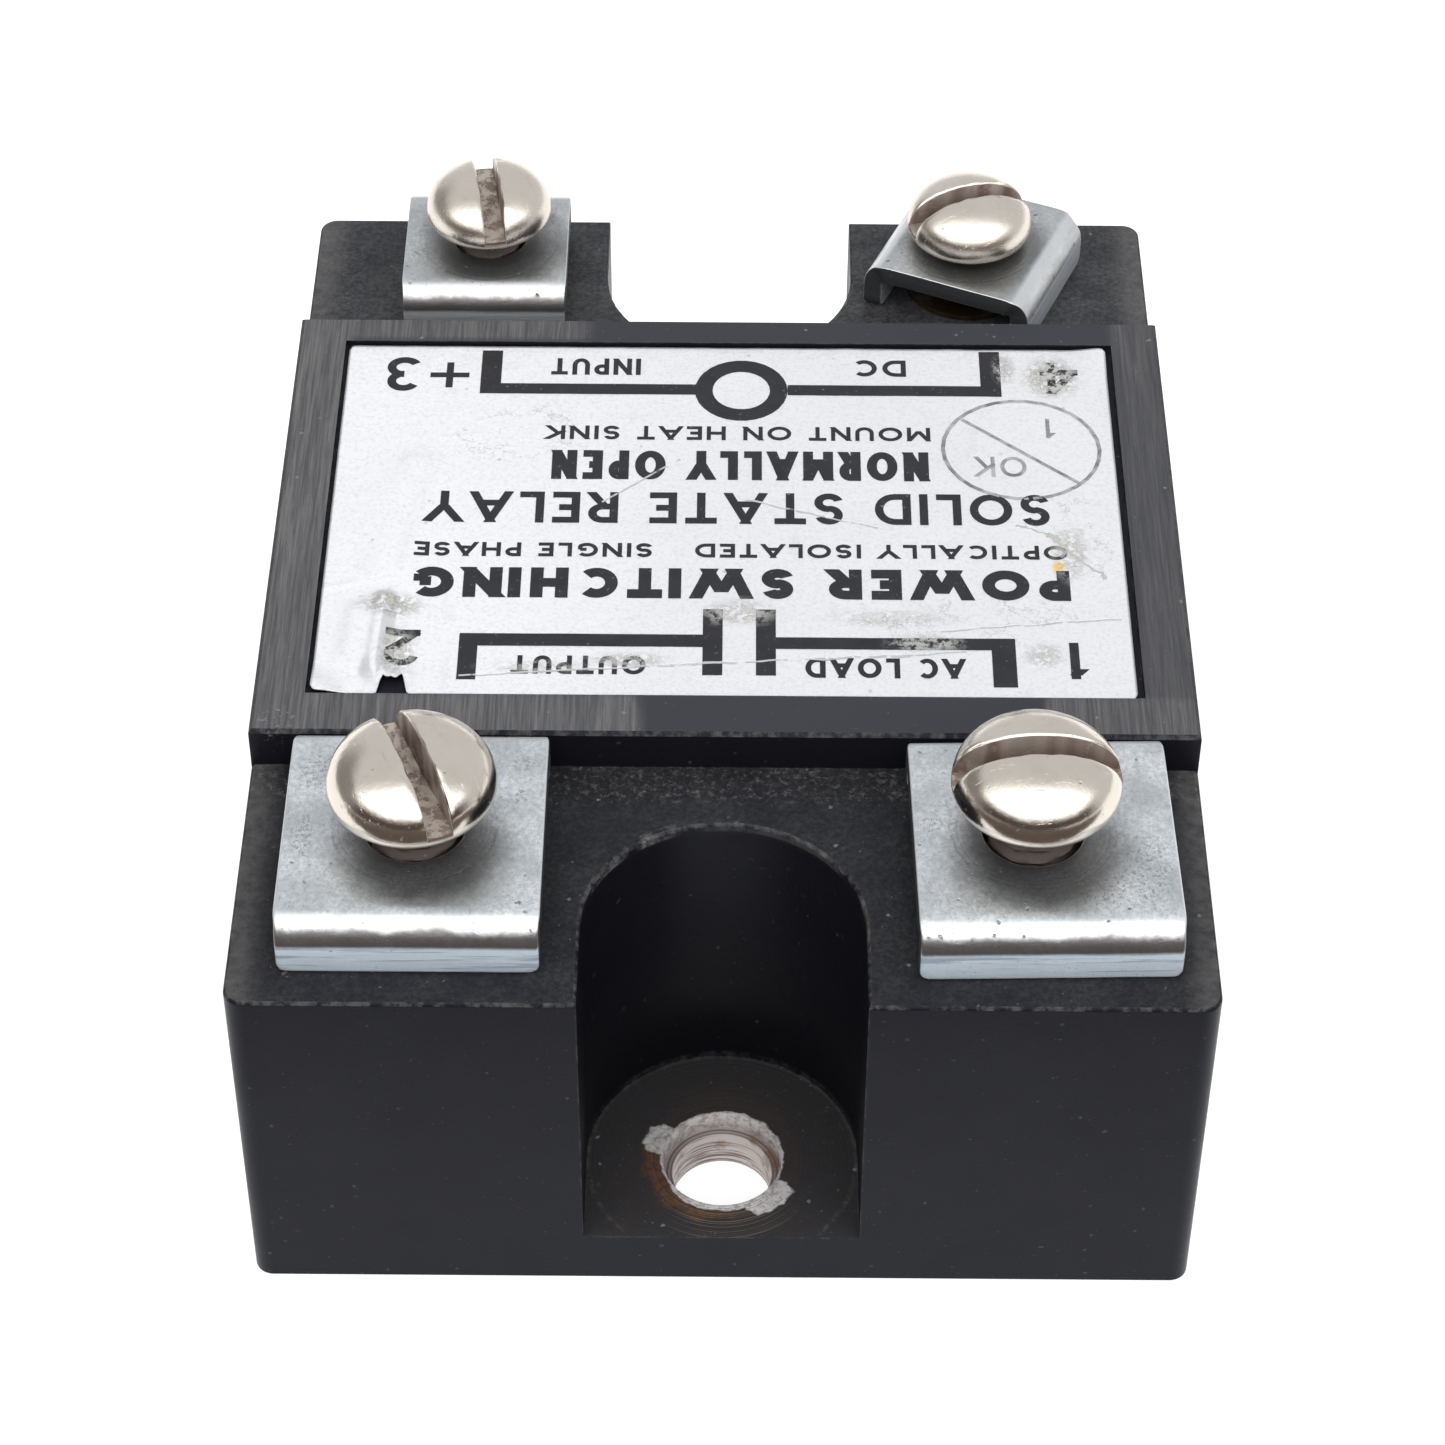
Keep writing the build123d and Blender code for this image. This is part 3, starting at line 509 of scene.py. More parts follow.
    paint = s.tint(s.noise(0.35, 3.0), (0.0072, 0.0072, 0.0098), (0.0104, 0.0104, 0.0138))
    layers = [
        (film, 0.75, (0.042, 0.042, 0.043)),
        (s.times(s.rise(s.y, 14.5, 17.0), film), 0.7, (0.085, 0.085, 0.087)),
        (on_block, 0.8, (0.05, 0.051, 0.057)),
        # Painted shade inside the mounting slots: darker than the rest of the case
        (inside, 0.4, (0.0045, 0.0045, 0.0065)),
        (low_down, 0.6, (0.048, 0.046, 0.048)),
        (grime, 0.4, (0.04, 0.034, 0.031)),
        (streaks, 0.85, grey(0.2, 0.03)),
        (deck_wear, 0.6, grey(0.12, 0.03)),
        (worn, 0.5, grey(0.13, 0.03)),
        (floor_specks, 0.3, grey(0.14, 0.1)),
        (dust, 1.0, grey(0.24, 0.03)),
        (s.most(s.times(disc_edge, 0.2), s.times(rim_line, 0.18)), 1.0, grey(0.2, 0.06)),
        (s.most(s.times(rim_chips, 0.34), s.times(corner_chip, 0.6)), 1.0, grey(0.26, 0.02)),
        (rust, 0.85, (0.16, 0.066, 0.026)),
        (rings, 0.5, (0.22, 0.18, 0.14)),
        (dark_rings, 0.6, (0.06, 0.045, 0.035)),
    ]
    paint = s.coats(paint, layers)
    metal = s.tint(s.rise(grain, 0.34, 0.56), (0.42, 0.38, 0.36), (0.78, 0.76, 0.74))
    paint = s.tint(bare, paint, metal)

    smudge = s.rise(s.noise(0.16, 4.0, 0.6), 0.35, 0.7)
    gloss = s.mix(smudge, 0.32, 0.42)
    gloss = s.mix(s.most(streaks, worn, dust), gloss, 0.62)
    gloss = s.mix(low_down, gloss, 0.5)
    s.set(Base_Color=paint, Roughness=gloss, Metallic=s.times(bare, 0.6), Specular_IOR_Level=0.11)
    s.set(Specular_Tint=(0.82, 0.88, 1.0, 1.0))
    s.bump(s.noise(9.0, 3.0, 0.6), 0.008)
    s.bump(s.times(fine, on_block, where), 0.03)
    s.bump(s.times(ring_lines, low_down), 0.05)
    s.bump(s.times(grain, low_down), 0.04)
    s.bump(s.most(rim_chips, corner_chip, s.times(specks, 0.3)), -0.05)
    return s.material


def milled_aluminium():
    """Base plate: milled face with fine lines, scratches and a dull film."""
    s = Surface("milled_aluminium")
    lines = s.noise(1.0, 3.0, 0.6, s.stretched(0.12, 8.0, 1.0))
    film = s.rise(s.noise(0.2, 4.0, 0.6), 0.35, 0.7)
    rings = s.noise(1.0, 2.0, 0.6, s.stretched(0.3, 0.3, 9.0))
    ledge_gap = s.vector("LENGTH", s.join(s.x, s.math("SUBTRACT", s.math("ABSOLUTE", s.y), MOUNT_Y)))
    ledge_rings = s.rings(ledge_gap, 7.0)
    ledge = s.times(s.rise(ledge_gap, 3.6, 3.4), s.upward(0.2, 0.5))
    wall = s.math("SUBTRACT", 1.0, s.upward(0.2, 0.5))
    scratches = s.rise(s.noise(1.0, 5.0, 0.75, s.stretched(0.35, 2.8, 1.0)), 0.66, 0.72)
    paint = s.tint(film, (0.6, 0.59, 0.58), (0.72, 0.715, 0.71))
    layers = [
        (wall, 0.8, (0.5, 0.44, 0.42)),
        (s.times(wall, s.rise(rings, 0.5, 0.62)), 1.0, (0.17, 0.13, 0.12)),
        (ledge, 0.9, (0.36, 0.31, 0.29)),
        (s.times(ledge, s.rise(ledge_rings, 0.42, 0.6)), 0.8, (0.1, 0.07, 0.055)),
    ]
    paint = s.coats(paint, layers)
    wall = s.most(wall, ledge)
    stain = s.rise(s.noise(0.6, 5.0, 0.7), 0.52, 0.64)
    paint = s.tint(s.times(wall, stain, 0.7), paint, (0.2, 0.1, 0.055))
    gloss = s.mix(s.most(lines, scratches), 0.3, 0.5)
    s.set(Base_Color=paint, Metallic=s.mix(wall, 1.0, 0.45), Roughness=gloss)
    s.bump(lines, 0.008)
    s.bump(s.times(rings, wall), 0.06)
    s.bump(scratches, -0.02)
    return s.material


def zinc_plate(name, number, screw_offset, shade_offset, height):
    """Zinc-plated steel: satin grey with pits and scuffs, a dark ring round the screw that is partly painted
    shade and reflection of its head, painted highlight and dark reflection on the bends, and painted light
    and shade on the flanges.
    """
    s = Surface(name)
    shift = (number * 17.0, number * 5.0, 0.0)
    cloud = s.noise(0.4, 4.0, 0.6, s.shifted(shift))
    mottle = s.noise(3.4, 5.0, 0.75, s.shifted(shift))
    grain = s.noise(9.0, 4.0, 0.7)
    ragged = s.shaken(s.shifted(shift), (0.4, 0.3, 0.2), s.noise(3.0, 4.0, 0.7))
    pits = s.times(s.specks(1.7, 0.2, 0.42, ragged), s.rise(s.noise(0.3, 2.0, 0.5, ragged), 0.45, 0.62))
    spots = s.most(*[s.blob(centre, radii, 0.6) for centre, radii in CLAMP_MARKS[number]])
    fine = s.noise(5.5, 5.0, 0.8, s.shifted(shift))
    scuffed = s.times(spots, s.rise(fine, 0.5, 0.6))
    tiny_pits = s.specks(4.2, 0.22, 0.3, ragged)
    gap = s.from_axis(*screw_offset)
    level = s.upward(0.9, 0.99)
    turning = s.rings(gap, 5.0, 0.65)
    wobbly_gap = s.swayed(gap, s.noise(0.6, 3.0), 1.2)
    # A dark ring round each screw: partly painted shade and reflection of its head, reaching further in front
    # of it
    wobbly_shade = s.swayed(s.from_axis(*shade_offset), s.noise(0.5, 4.0, 0.6), 2.0)
    head_shade_halo = s.times(s.most(s.rise(wobbly_gap, 4.2, 2.5), s.times(s.rise(wobbly_shade, 4.6, 2.6), 0.9)), level)
    rubbed_ring = s.times(s.band(wobbly_gap, 2.6, 4.2, 0.6), level)
    rubbed = s.times(rubbed_ring, s.rise(turning, 0.35, 0.7), s.rise(mottle, 0.35, 0.6))
    side = s.rise(s.facing_up, 0.2, 0.05)
    # Painted dark reflection on the lower part of each bend
    bend_edge = s.swayed(s.z, s.noise(0.7, 3.0, 0.6, ragged), 0.8)
    bend_dark_reflection = s.times(s.rise(bend_edge, height - 0.36, height - 0.72), s.rise(s.facing_up, 0.06, 0.2))
    # Painted highlight on the upper part of each bend
    bend_painted_highlight = s.times(s.rise(s.facing_up, 0.98, 0.9), s.rise(s.facing_up, 0.4, 0.6))
    sheared = s.noise(1.0, 3.0, 0.65, s.stretched(0.15, 0.15, 5.0, shift))
    own_normal = s.add("ShaderNodeTexCoord").outputs["Normal"]
    cut_end = s.rise(s.math("ABSOLUTE", s.split(own_normal)[1]), 0.6, 0.9)
    scuff = s.rise(s.noise(1.0, 5.0, 0.7, s.stretched(0.9, 1.9, 1.0, shift)), 0.64, 0.74)
    worn = s.times(s.edges(0.2, 0.03, 0.3), s.rise(s.noise(2.2, 3.0), 0.35, 0.6))
    bend_shade = 0.85 if number < 4 else 0.3
    # Flange colours are painted light and shade: a pale blue reflection on clamps 1 and 2, darker on clamps 3
    # and 4
    if number < 3:
        dull, bright, flange = (0.58, 0.61, 0.62), (0.86, 0.89, 0.9), (0.66, 0.76, 0.84)
    else:
        dull, bright, flange = (0.46, 0.475, 0.47), (0.68, 0.695, 0.69), (0.34, 0.35, 0.35)
    paint = s.tint(s.rise(cloud, 0.3, 0.7), dull, bright)
    layers = [
        (s.rise(mottle, 0.35, 0.65, 0.0, 0.55), 1.0, (0.4, 0.42, 0.43)),
        (s.rise(fine, 0.52, 0.62, 0.0, 0.3), 1.0, (0.3, 0.31, 0.32)),
        (side, 0.8, flange),
        (s.times(side, s.rise(sheared, 0.5, 0.62)), 0.65, (0.24, 0.3, 0.4)),
        (cut_end, 0.96, (0.035, 0.036, 0.038)),
        (head_shade_halo, 0.8, (0.12, 0.118, 0.115)),
        (rubbed, 0.4, (0.14, 0.14, 0.14)),
        (bend_painted_highlight, 0.7, (0.75, 0.76, 0.76)),
        (bend_dark_reflection, bend_shade, (0.17, 0.155, 0.145)),
        (s.most(s.times(scuff, 0.45), s.times(scuffed, 0.7)), 1.0, (0.22, 0.21, 0.2)),
        (s.most(s.times(pits, 0.75), s.times(tiny_pits, 0.35)), 1.0, (0.12, 0.11, 0.1)),
        (worn, 0.4, (0.8, 0.81, 0.82)),
    ]
    paint = s.coats(paint, layers)
    gloss = s.mix(cloud, 0.3, 0.4)
    gloss = s.mix(s.most(pits, scuff, side), gloss, 0.52)
    s.set(Base_Color=paint, Metallic=s.mix(side, 0.86, 0.35), Roughness=gloss)
    s.bump(mottle, 0.014)
    s.bump(grain, 0.006)
    s.bump(s.times(sheared, side), 0.03)
    s.bump(rubbed, -0.012)
    s.bump(s.most(pits, s.times(tiny_pits, 0.4)), -0.03)
    return s.material


def nickel_plate(name, sizes, turn):
    """Nickel-plated steel: warm bright dome, faint scratches, brown dirt in the slot, dull threads darkened
    partly by dirt and partly by painted shade of the head.
    """
    s = Surface(name)
    across = s.math("ABSOLUTE", s.y)
    half = sizes["slot_width"] / 2
    floor_z = sizes["head_height"] - sizes["slot_depth"]
    radius = s.from_axis(0.0, 0.0)
    in_slot = s.times(s.rise(across, half + 0.06, half - 0.01), s.rise(s.z, floor_z - 0.25, floor_z - 0.1))
    wall = s.times(in_slot, s.rise(s.facing_up, 0.75, 0.45))
    blotch = s.noise(1.3, 5.0, 0.7, s.shifted((turn, 3.0, 0.0)))
    wall_dirt = s.times(wall, s.rise(blotch, 0.25, 0.5, 0.6, 1.0))
    dirt = s.most(wall_dirt, s.times(in_slot, s.rise(blotch, 0.46, 0.58), 0.75))
    cloud = s.noise(0.5, 4.0, 0.6, s.shifted((turn, 0.0, 0.0)))
    hair = s.rise(s.noise(1.0, 5.0, 0.75, s.stretched(0.6, 5.0, 2.0, (turn, 1.0, 0.0))), 0.62, 0.72)
    nicks = s.specks(1.5, 0.14, 0.3, s.shifted((turn, 7.0, 0.0)))
    # The threads under the head are dark brown: partly dirt and partly painted shade of the head and clamp
    shank_dirt_and_shade = s.times(s.rise(s.z, 0.1, -0.05), s.rise(radius, 3.4, 2.6))
    tarnish = s.rise(s.noise(0.9, 5.0, 0.7, s.shifted((turn, 5.0, 2.0))), 0.55, 0.75)
    paint = s.tint(cloud, (0.63, 0.57, 0.49), (0.75, 0.69, 0.61))
    layers = [
        (tarnish, 0.3, (0.48, 0.4, 0.32)),
        (hair, 0.3, (0.45, 0.4, 0.35)),
        (in_slot, 0.6, (0.6, 0.5, 0.42)),
        (shank_dirt_and_shade, 0.95, (0.045, 0.026, 0.02)),
        (nicks, 0.5, (0.25, 0.2, 0.17)),
        (dirt, 0.92, (0.085, 0.042, 0.03)),
    ]
    paint = s.coats(paint, layers)
    dull = 0.0 if sizes is POWER else 0.09
    gloss = s.mix(cloud, 0.14 + dull, 0.22 + dull)
    gloss = s.mix(hair, gloss, 0.34)
    gloss = s.mix(s.most(dirt, s.times(in_slot, 0.7), s.times(shank_dirt_and_shade, 0.9)), gloss, 0.55)
    s.set(Base_Color=paint, Metallic=s.mix(s.most(dirt, shank_dirt_and_shade), 1.0, 0.15), Roughness=gloss)
    s.bump(s.noise(1.1, 3.0, 0.5), 0.022)
    s.bump(s.noise(9.0, 3.0, 0.6), 0.003)
    s.bump(s.most(hair, nicks), -0.008)
    s.bump(s.times(dirt, blotch), 0.05)
    return s.material


def label_wear(s):
    """Two patterns that the foil and its print share: residue, and lines where the print is scratched off."""
    spots = s.most(*[s.times(s.blob(centre, radii, 0.7), share) for centre, radii, share in LABEL_MARKS])
    speckle = s.rise(s.noise(2.2, 6.0, 0.75), 0.44, 0.56)
    residue = s.times(spots, speckle)
    bent = s.shaken(s.place, (0.35, 0.35, 0.0), s.noise(0.7, 2.0))
    lines = s.most(*[s.segment(start, end, 0.03, 0.05, bent) for start, end in LABEL_SCRATCHES])
    return residue, s.times(lines, s.rise(s.noise(1.6, 3.0), 0.35, 0.5))


def label_foil():
    """Matte aluminium foil: white sheen, residue, a crack, a yellow stain, fine scratches and painted shade
    on the slopes of its folds.
    """
    s = Surface("label_foil")
    residue, lines = label_wear(s)
    sheen = s.noise(0.14, 3.0, 0.5)
    grain = s.noise(5.0, 4.0, 0.7)
    bent = s.shaken(s.place, (0.9, 0.9, 0.0), s.noise(1.3, 3.0))
    veins = s.math("ABSOLUTE", s.math("SUBTRACT", s.noise(0.55, 5.0, 0.6), 0.5))
    crazed_places = [((12.0, -5.5), (8.0, 2.2)), ((17.2, 0.5), (2.4, 4.5)), ((-11.0, 8.5), (6.0, 3.0))]
    crazed = s.most(*[s.blob(*place) for place in crazed_places])
    crazing = s.times(s.rise(veins, 0.012, 0.004), crazed, s.rise(s.noise(1.1, 3.0), 0.42, 0.55))
    crack = s.most(
        s.segment((18.9, -1.9), (17.0, 0.3), 0.05, 0.09, bent),
        s.segment((17.0, 0.3), (16.4, 1.4), 0.05, 0.09, bent),
        s.segment((16.4, 1.4), (14.8, 1.9), 0.03, 0.07, bent),
    )
    stain = s.times(s.blob((16.2, -1.7), (0.42, 0.75), 0.6), s.rise(s.noise(2.0, 3.0), 0.3, 0.5))
    dots = s.specks(0.7, 0.1, 0.5)
    smear = s.rise(s.noise(1.0, 4.0, 0.65, s.stretched(0.7, 0.25, 1.0)), 0.6, 0.75)
    toward_left = s.rise(s.x, 2.0, -15.0)
    paint = s.tint(sheen, (0.78, 0.78, 0.785), (0.88, 0.88, 0.885))
    layers = [
        (toward_left, 0.85, (0.93, 0.93, 0.935)),
        (s.rise(grain, 0.45, 0.7), 0.3, (0.5, 0.5, 0.5)),
        # Painted shade on the slopes of the foil's folds
        (s.rise(s.facing_up, 0.998, 0.95, 0.0, 0.5), 1.0, (0.42, 0.42, 0.41)),
        (smear, 0.16, (0.5, 0.5, 0.5)),
        (residue, 0.7, (0.36, 0.34, 0.28)),
        (lines, 0.5, (0.3, 0.3, 0.3)),
        (crack, 0.6, (0.4, 0.36, 0.3)),
        (dots, 0.45, (0.35, 0.33, 0.3)),
        (crazing, 0.5, (0.4, 0.39, 0.36)),
        (stain, 0.85, (0.72, 0.46, 0.12)),
    ]
    paint = s.coats(paint, layers)
    gloss = s.mix(grain, 0.36, 0.5)
    s.set(Base_Color=paint, Metallic=s.mix(s.most(residue, stain), 0.5, 0.0), Roughness=gloss)
    s.bump(grain, 0.012)
    s.bump(s.noise(0.8, 5.0, 0.65), 0.09)
    s.bump(s.noise(1.0, 4.0, 0.6, s.stretched(0.5, 3.0, 1.0)), 0.02)
    s.bump(s.most(residue, crack), 0.04)
    s.bump(lines, -0.02)
    return s.material


def label_ink():
    """Black print, thin enough for the foil to show where it is rubbed away."""
    s = Surface("label_ink")
    residue, lines = label_wear(s)
    thin = s.rise(s.noise(4.5, 4.0, 0.7), 0.64, 0.72)
    lost = s.most(s.times(residue, 0.85), s.times(lines, 0.9), s.times(thin, 0.35))
    ink = s.tint(s.noise(0.9, 3.0), (0.012, 0.012, 0.014), (0.03, 0.03, 0.034))
    paint = s.tint(lost, ink, (0.62, 0.61, 0.58))
    s.set(Base_Color=paint, Metallic=s.times(lost, 0.4), Roughness=s.mix(s.noise(2.0, 3.0), 0.38, 0.55))
    s.set(Specular_IOR_Level=0.25)
    s.bump(s.noise(5.0, 4.0, 0.7), 0.006)
    return s.material


def stamp_ink():
    """Grey hand-stamped ink, uneven along its lines."""
    s = Surface("stamp_ink")
    faint = s.rise(s.noise(1.1, 4.0, 0.6), 0.35, 0.65)
    paint = s.tint(faint, (0.16, 0.16, 0.17), (0.42, 0.42, 0.43))
    s.set(Base_Color=paint, Roughness=s.mix(faint, 0.45, 0.6), Metallic=0.2)
    s.bump(s.noise(5.0, 4.0, 0.7), 0.006)
    return s.material


def plain_metal(name, dark, light, roughness):
    """A bare metal with cloudy tarnish, fine grain and brighter edges."""
    s = Surface(name)
    cloud = s.rise(s.noise(0.7, 4.0, 0.6), 0.3, 0.7)
    worn = s.times(s.edges(0.12), s.noise(2.5, 3.0))
    paint = s.tint(cloud, dark, light)
    paint = s.tint(s.times(worn, 0.5), paint, tuple(min(1.0, c * 1.2) for c in light))
    s.set(Base_Color=paint, Metallic=1.0, Roughness=s.mix(cloud, roughness + 0.12, roughness))
    s.bump(s.noise(6.0, 3.0, 0.6), 0.008)
    return s.material


def plain_solid(name, dark, light, roughness, grain=6.0, depth=0.01):
    """A moulded, fired or cast material with mottling, fine grain and paler edges."""
    s = Surface(name)
    mottle = s.noise(0.8, 4.0, 0.6)
    worn = s.times(s.edges(0.12), s.noise(2.5, 3.0))
    paint = s.tint(mottle, dark, light)
    paint = s.tint(s.times(worn, 0.4), paint, tuple(min(1.0, c * 1.35 + 0.02) for c in light))
    s.set(Base_Color=paint, Roughness=s.mix(mottle, roughness, roughness + 0.15))
    s.bump(s.noise(grain, 3.0, 0.6), depth)
    return s.material


def floor_material():
    """Plain pale floor, lit from below as on a light table."""
    s = Surface("pale_floor")
    paint = s.tint(s.noise(0.004, 2.0), (0.5, 0.5, 0.5), (0.52, 0.52, 0.52))
    s.set(Base_Color=paint, Roughness=0.75, Emission_Color=(1.0, 1.0, 1.0, 1.0), Emission_Strength=0.72)
    return s.material


def mat_material():
    """Dark warm cloth that the shiny screws and clamp plates reflect."""
    s = Surface("dark_cloth")
    paint = s.tint(s.noise(0.02, 2.0), (0.055, 0.036, 0.028), (0.07, 0.045, 0.036))
    s.set(Base_Color=paint, Roughness=0.9)
    return s.material


# ---------------------------------------------------------------- screws
def dome_height(radius, head_radius, rim_z, top_z):
    """Height of a round head's dome at a distance from its axis."""
    share = min(abs(radius) / head_radius, 1.0)
    return rim_z + (top_z - rim_z) * (1 - share**DOME_POWER) ** (1 / DOME_POWER)


def slot_columns(head_radius, half_slot):
    """Places across the head for the columns of its mesh, close together at the slot's edges."""
    count = 22
    first = math.asin((half_slot + SLOT_EDGE_REACH) / head_radius)
    turns = [first + (math.pi / 2 - first) * step / count for step in range(1, count + 1)]
    outer = [head_radius * math.sin(turn) for turn in turns]
    edge = [half_slot + gap for gap in (0.0, 0.015, 0.03, 0.06, SLOT_EDGE_REACH)]
    inner = [half_slot * share for share in (0.33, 0.75)]
    positive = inner + edge + outer
    return [-place for place in reversed(positive)] + [0.0] + positive


def slot_drop(across, half_slot):
    """How far the dome is rounded down beside the slot's edge."""
    gap = abs(across) - half_slot
    return SLOT_EDGE_DROP * (1 - smooth_step(gap, 0.0, SLOT_EDGE_REACH)) if gap > 0.001 else SLOT_EDGE_DROP


def head_points(head_radius, half_slot, rim_z, top_z, floor_z, wear, seed):
    """Columns of points over the slotted dome, from rim to rim along the slot."""
    rows = 52
    columns = []
    for across in slot_columns(head_radius, half_slot):
        reach = math.sqrt(max(head_radius**2 - across**2, 0.0))
        if reach < 1e-6:
            columns.append([(0.0, across, rim_z)])
            continue
        column = []
        for row in range(rows + 1):
            along = reach * math.sin(math.pi / 2 * (2 * row / rows - 1))
            height = dome_height(math.hypot(along, across), head_radius, rim_z, top_z)
            inside = abs(across) < half_slot + 0.001
            above = smooth_step(height - floor_z, 0.0, 0.35)
            place = Vector((along, across, 0.0))
            chew = noise.noise(place * 1.9 + Vector((seed, 0, 0)))
            beside = 1 - smooth_step(abs(across) - half_slot, 0.05, 0.55)
            if inside:
                scar = 0.05 * noise.noise(place * 3.1 + Vector((0, seed, 0)))
                height = min(height, floor_z + scar * above)
            else:
                height -= above * (slot_drop(across, half_slot) + wear * beside * max(chew, 0.0) * 2.2)
            shove = above * beside * wear * noise.noise(place * 1.4 + Vector((seed, seed, 3)))
            column.append((along, across + shove, height))
        columns.append(column)
    return columns


def screw_piece(number, material):
    """Slotted round-head screw with a helical thread, in its own frame: slot along X, head's seat at zero."""
    spec = TERMINALS[number]
    sizes = spec["sizes"]
    low, high = node_box(f"terminal_screw_{number}")
    head_radius = (high.x - low.x) / 2
    rim_z = RIM_SHARE * sizes["head_height"]
    floor_z = sizes["head_height"] - sizes["slot_depth"]
    half_slot, top_z = sizes["slot_width"] / 2, sizes["head_height"]
    columns = head_points(head_radius, half_slot, rim_z, top_z, floor_z, spec["slot_wear"], number * 7.3)
    points, faces, index = [], [], []
    for column in columns:
        index.append(list(range(len(points), len(points) + len(column))))
        points.extend(column)
    for left, right in zip(index, index[1:]):
        if len(left) == 1 or len(right) == 1:
            tip, edge = (left[0], right) if len(left) == 1 else (right[0], left)
            for a, b in zip(edge, edge[1:]):
                faces.append((tip, b, a) if len(left) == 1 else (tip, a, b))
            continue
        for row in range(len(left) - 1):
            faces.append((left[row], left[row + 1], right[row + 1], right[row]))
    rim = [column[-1] for column in index] + [column[0] for column in reversed(index[1:-1])]
    angles = [math.atan2(points[i][1], points[i][0]) for i in rim]

    def ring(radius_at, z):
        start = len(points)
        for angle in angles:
            radius = radius_at(angle, z)
            points.append((radius * math.cos(angle), radius * math.sin(angle), z))
        return list(range(start, start + len(angles)))

    def join(upper, lower):
        for k in range(len(upper)):
            following = (k + 1) % len(upper)
            faces.append((upper[k], upper[following], lower[following], lower[k]))

    def thread(angle, z):
        phase = (z / THREAD_PITCH - angle / (2 * math.pi)) % 1.0
        groove = 1 - abs(2 * phase - 1)
        fade = smooth_step(-z, 0.25, 1.1) * smooth_step(z - tip_z, -0.1, 0.6)
        taper = 0.55 * (1 - smooth_step(z - tip_z, 0.0, 0.7))
        return crest - THREAD_DEPTH * groove * fade - taper

    crest = sizes["thread_radius"]
    tip_z = -sizes["length"]
    tuck = RIM_TUCK * head_radius
    turns = [math.pi / 2 * step / 6 for step in range(1, 7)]
    rings = [(head_radius - tuck * (1 - math.cos(turn)), rim_z * (1 - math.sin(turn))) for turn in turns]
    rings += [(crest + 0.28, 0.0), (crest + 0.08, -0.07), (crest, -NECK_LENGTH)]
    profile = [(lambda angle, z, r=radius: r, z) for radius, z in rings]
    levels = int((sizes["length"] - NECK_LENGTH) / THREAD_PITCH * LEVELS_PER_TURN)
    span = tip_z + NECK_LENGTH
    profile += [(thread, -NECK_LENGTH + span * level / levels) for level in range(1, levels + 1)]
    previous = rim
    for radius_at, z in profile:
        current = ring(radius_at, z)
        join(previous, current)
        previous = current
    points.append((0.0, 0.0, tip_z))
    for k in range(len(previous)):
        faces.append((previous[k], previous[(k + 1) % len(previous)], len(points) - 1))

    piece = mesh_piece(f"screw_{number}_detail", points, faces, material)
    outward(piece.data)
    shade(piece.data, 50.0)
    centre = (low + high) / 2
    seat_z = low.z + sizes["length"]
    piece.matrix_world = placed(centre.x, centre.y, seat_z, spec["slot_deg"])
    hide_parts(f"terminal_screw_{number}")
    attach(piece, f"screw_{number}")
    return piece


